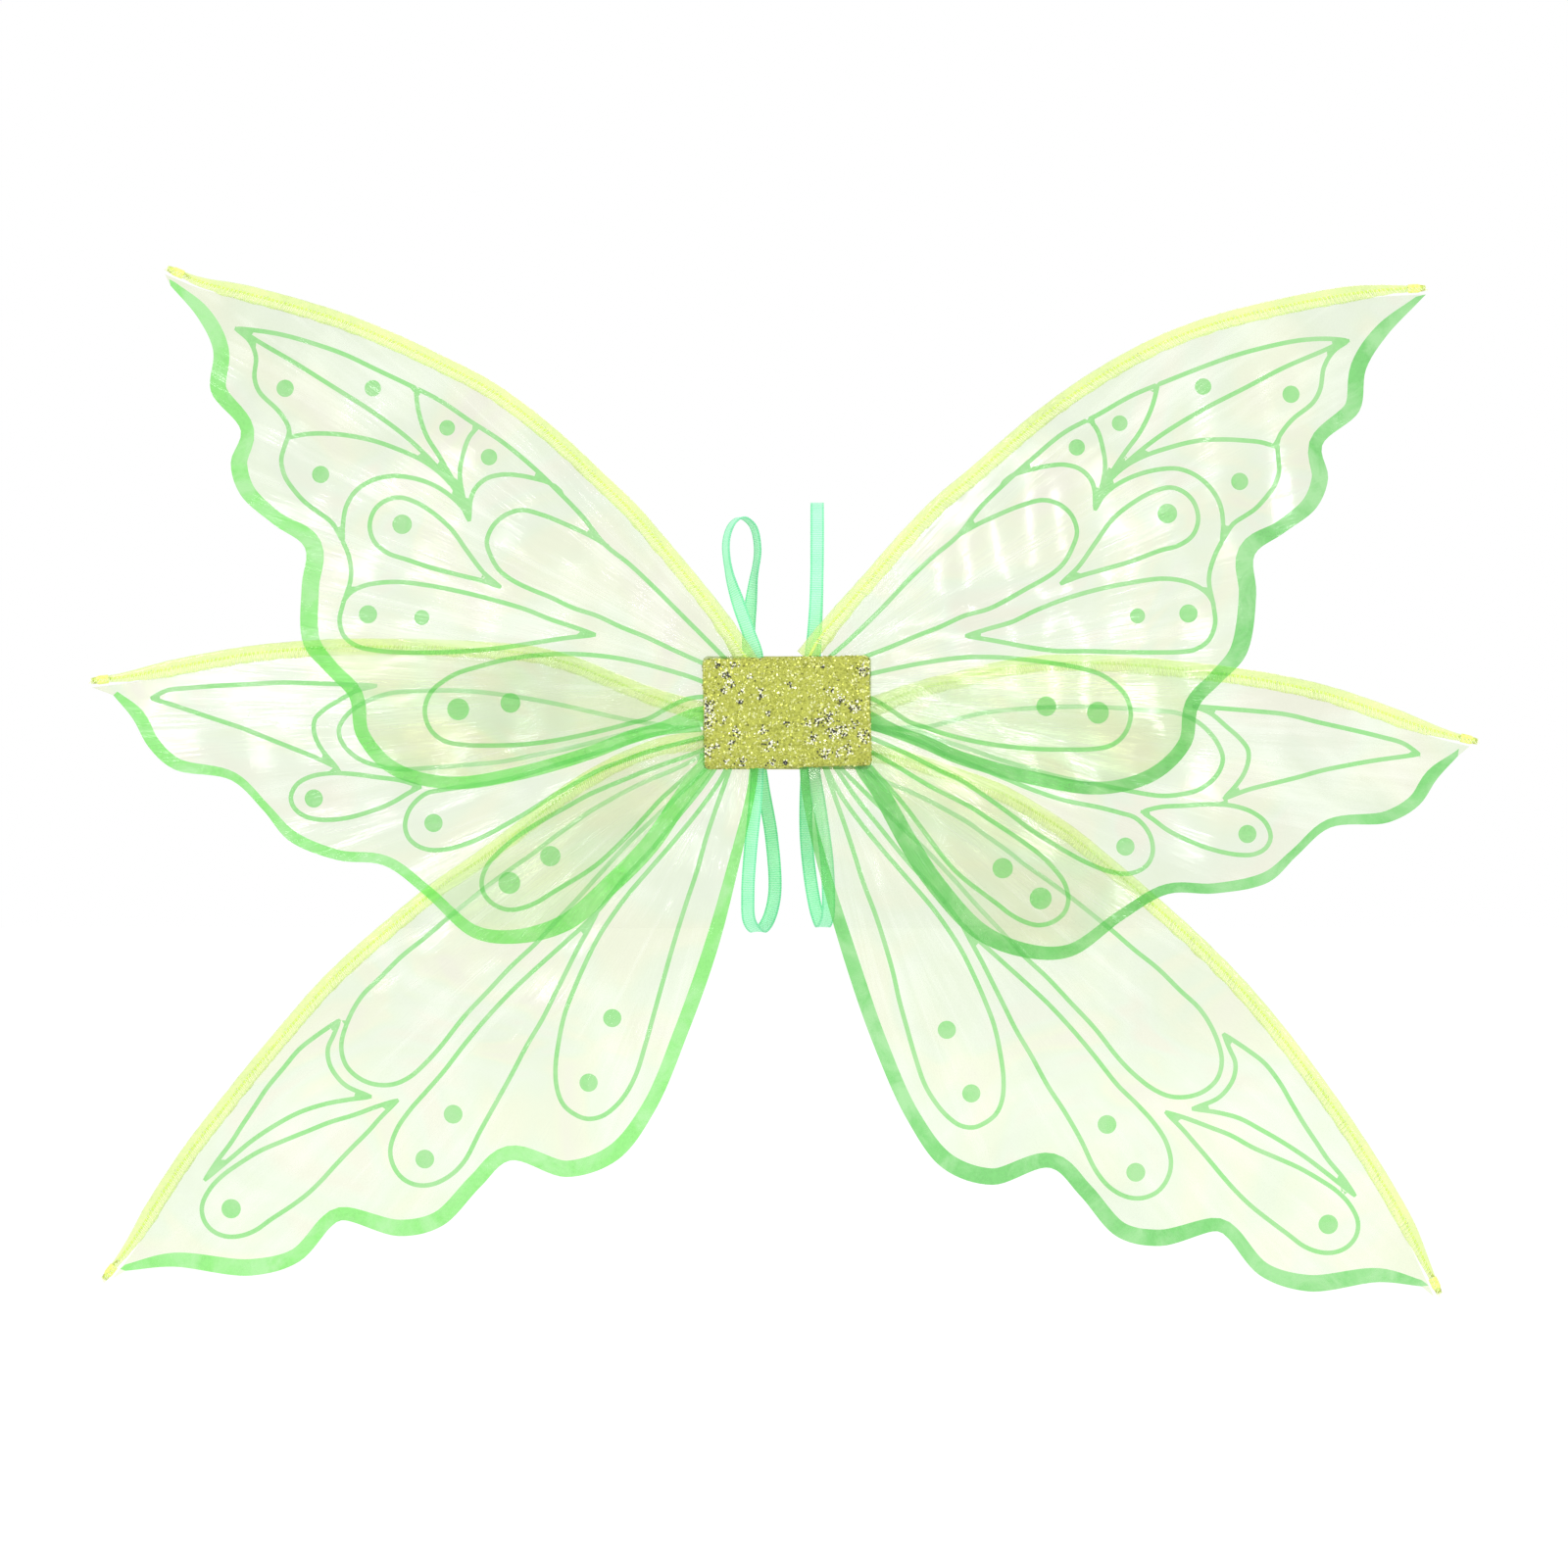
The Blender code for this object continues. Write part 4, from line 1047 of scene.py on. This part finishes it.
def glitter(cover, count):
    """Loose flakes bonded all over the cover: small six-sided chips, each at its own tilt, then bunches of
    black chips and of white chips that are painted sparkle glints.
    """
    mesh = cover.data
    mesh.calc_loop_triangles()
    verts = [Vector(v.co) / MM for v in mesh.vertices]
    tris = [t.vertices[:] for t in mesh.loop_triangles if len(mesh.polygons[t.polygon_index].vertices) == 4]
    areas = np.array([(verts[b] - verts[a]).cross(verts[c] - verts[a]).length / 2 for a, b, c in tris])
    total = np.cumsum(areas)
    rng = random.Random(41)
    points, faces, indices = [], [], []

    def jitter(amount):
        return Vector((rng.gauss(0, 1), rng.gauss(0, 1), rng.gauss(0, 1))) * amount

    for _ in range(count):
        index = int(np.searchsorted(total, rng.random() * total[-1]))
        a, b, c = (verts[k] for k in tris[min(index, len(tris) - 1)])
        s, t = rng.random(), rng.random()
        if s + t > 1:
            s, t = 1 - s, 1 - t
        p = a + (b - a) * s + (c - a) * t
        normal = (b - a).cross(c - a).normalized()
        faces.append(chip(points, p + normal * rng.uniform(0.05, 0.4), (normal + jitter(0.24)).normalized(),
                          rng.uniform(0.42, 0.85), rng.uniform(0, math.pi)))
        indices.append(rng.choices(range(4), weights=(54, 27, 17, 2))[0])

    ahead = Vector((0, -1, 0))
    surface = BVHTree.FromPolygons(verts, [p.vertices[:] for p in mesh.polygons])
    for across, up, amount in BUNCHES:
        for _ in range(amount * 5):
            spread = 0.7 + 0.22 * amount
            at = Vector((across + rng.gauss(0, spread), -60.0, up + rng.gauss(0, spread)))
            at.x = max(-COVER_HALF_W + 1, min(COVER_HALF_W - 1, at.x))
            at.z = max(-COVER_HALF_H + 1, min(COVER_HALF_H - 1, at.z))
            hit = surface.ray_cast(at, -ahead)[0]
            if hit is None:
                continue
            # kind 5 is the white chip, a painted sparkle glint; kind 4 is a black chip
            kind = rng.choices((4, 5), weights=(46, 54))[0]
            faces.append(chip(points, hit + ahead * (0.62 if kind == 4 else 0.5),
                              (ahead + jitter(0.1)).normalized(),
                              rng.uniform(0.46, 0.66), rng.uniform(0, math.pi)))
            indices.append(kind)
    piece = add_mesh("glitter_flakes", points, faces, FLAKES, indices, shade=False)
    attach(piece, "hub")
    return piece


cover = plate_cover()
glitter(cover, 11000)


def sewn_lines():
    """Running stitch round the rear panel, and boxed stitching where the arm loops are sewn in."""
    inset = 3.2
    low = Vector((PANEL_LOW.x + inset, PANEL_LOW.z + inset))
    high = Vector((PANEL_HIGH.x - inset, PANEL_HIGH.z - inset))
    rows = [(low.x, low.y, high.x, low.y), (high.x, low.y, high.x, high.y), (high.x, high.y, low.x, high.y),
            (low.x, high.y, low.x, low.y)]
    for path in STRAPS.values():
        for end in (path[0], path[-1]):
            x, sign = end[0], math.copysign(1, end[2])
            x0, x1, z0, z1 = x - 3.2, x + 3.2, sign * 19, sign * 30
            rows += [(x0, z0, x1, z0), (x1, z0, x1, z1), (x1, z1, x0, z1), (x0, z1, x0, z0), (x0, z0, x1, z1),
                     (x0, z1, x1, z0)]
    points, faces = [], []
    for x0, z0, x1, z1 in rows:
        a, b = Vector((x0, PANEL_HIGH.y, z0)), Vector((x1, PANEL_HIGH.y, z1))
        count = max(2, round((b - a).length / 3.1))
        t = (b - a).normalized()
        side = t.cross(Vector((0, 1, 0)))
        for k in range(count):
            start, length = a + (b - a) * ((k + 0.14) / count), (b - a).length / count * 0.72
            base = len(points)
            for i in range(7):
                middle = start + t * length * i / 6 + Vector((0, 0.34 * math.sin(math.pi * i / 6) - 0.12, 0))
                for q in range(5):
                    angle = 2 * math.pi * q / 5
                    points.append(middle + side * 0.27 * math.cos(angle)
                                  + Vector((0, 0.27 * math.sin(angle), 0)))
            for i in range(6):
                for q in range(5):
                    c, d = base + i * 5 + q, base + i * 5 + (q + 1) % 5
                    faces.append((c, d, d + 5, c + 5))
    piece = add_mesh("panel_stitches", points, faces, [THREAD])
    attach(piece, "hub")
    return piece


sewn_lines()

nodes = frame["nodes"]
for name, material in (("back_panel", FELT), ("stiffener_board", CARD), ("wire_binding", TAPE)):
    for material_slot in nodes[name].material_slots:
        material_slot.material = material

# ---------------------------------------------------------------- stage and light
FLOOR_Z = cad_box[0][2] - 0.002


def floor():
    n = Nodes("floor_white")
    cloudy = n.ramp(n.noise(2.0, 2.0, n.coords()), [(0.3, (0.90, 0.90, 0.90)), (0.7, (0.92, 0.92, 0.92))])
    matt = n.add("ShaderNodeBsdfDiffuse", {"Color": cloudy}).outputs[0]
    glow = n.add("ShaderNodeEmission", {"Color": (1.0, 1.0, 1.0), "Strength": 1.12}).outputs[0]
    material = n.finish(n.blend(0.6, matt, glow))
    span = 6.0 / MM
    z = FLOOR_Z / MM
    piece = add_mesh("floor", [(-span, -span, z), (span, -span, z), (span, span, z), (-span, span, z)],
                     [(0, 1, 2, 3)], [material], shade=False)


floor()

world = bpy.data.worlds.new("soft_white")
world.use_nodes = True
world.node_tree.nodes["Background"].inputs["Color"].default_value = (1.0, 1.0, 1.0, 1.0)
world.node_tree.nodes["Background"].inputs["Strength"].default_value = 1.0
bpy.context.scene.world = world


def softbox(name, location, aim, size, power, roll=0.0):
    data = bpy.data.lights.new(name, "AREA")
    data.shape = "RECTANGLE"
    data.size, data.size_y = size
    data.energy = power
    light = bpy.data.objects.new(name, data)
    bpy.context.scene.collection.objects.link(light)
    light.location = location
    facing = (Vector(aim) - Vector(location)).to_track_quat("-Z", "Y").to_matrix()
    light.rotation_euler = (facing @ Matrix.Rotation(roll, 3, "Z")).to_euler()


softbox("key", (-1.3, -1.9, 1.5), (0, 0, 0), (0.35, 1.4), 14.0)
softbox("fill", (1.6, -1.7, 0.9), (0, 0, 0), (0.3, 1.2), 9.0)
softbox("back", (0.4, 1.9, 1.3), (0, 0, 0), (1.0, 1.0), 8.0)
softbox("glint_right", (0.28, -2.34, 0.21), (0.14, 0, 0.08), (0.34, 0.06), 1.3, roll=math.radians(-38))
softbox("glint_left", (-0.62, -2.34, 0.10), (-0.30, 0, 0.03), (0.30, 0.05), 0.8, roll=math.radians(15))

bpy.context.scene.view_settings.view_transform = "Standard"
bpy.context.scene.cycles.transparent_max_bounces = 32  # up to six sheer layers lie behind one another
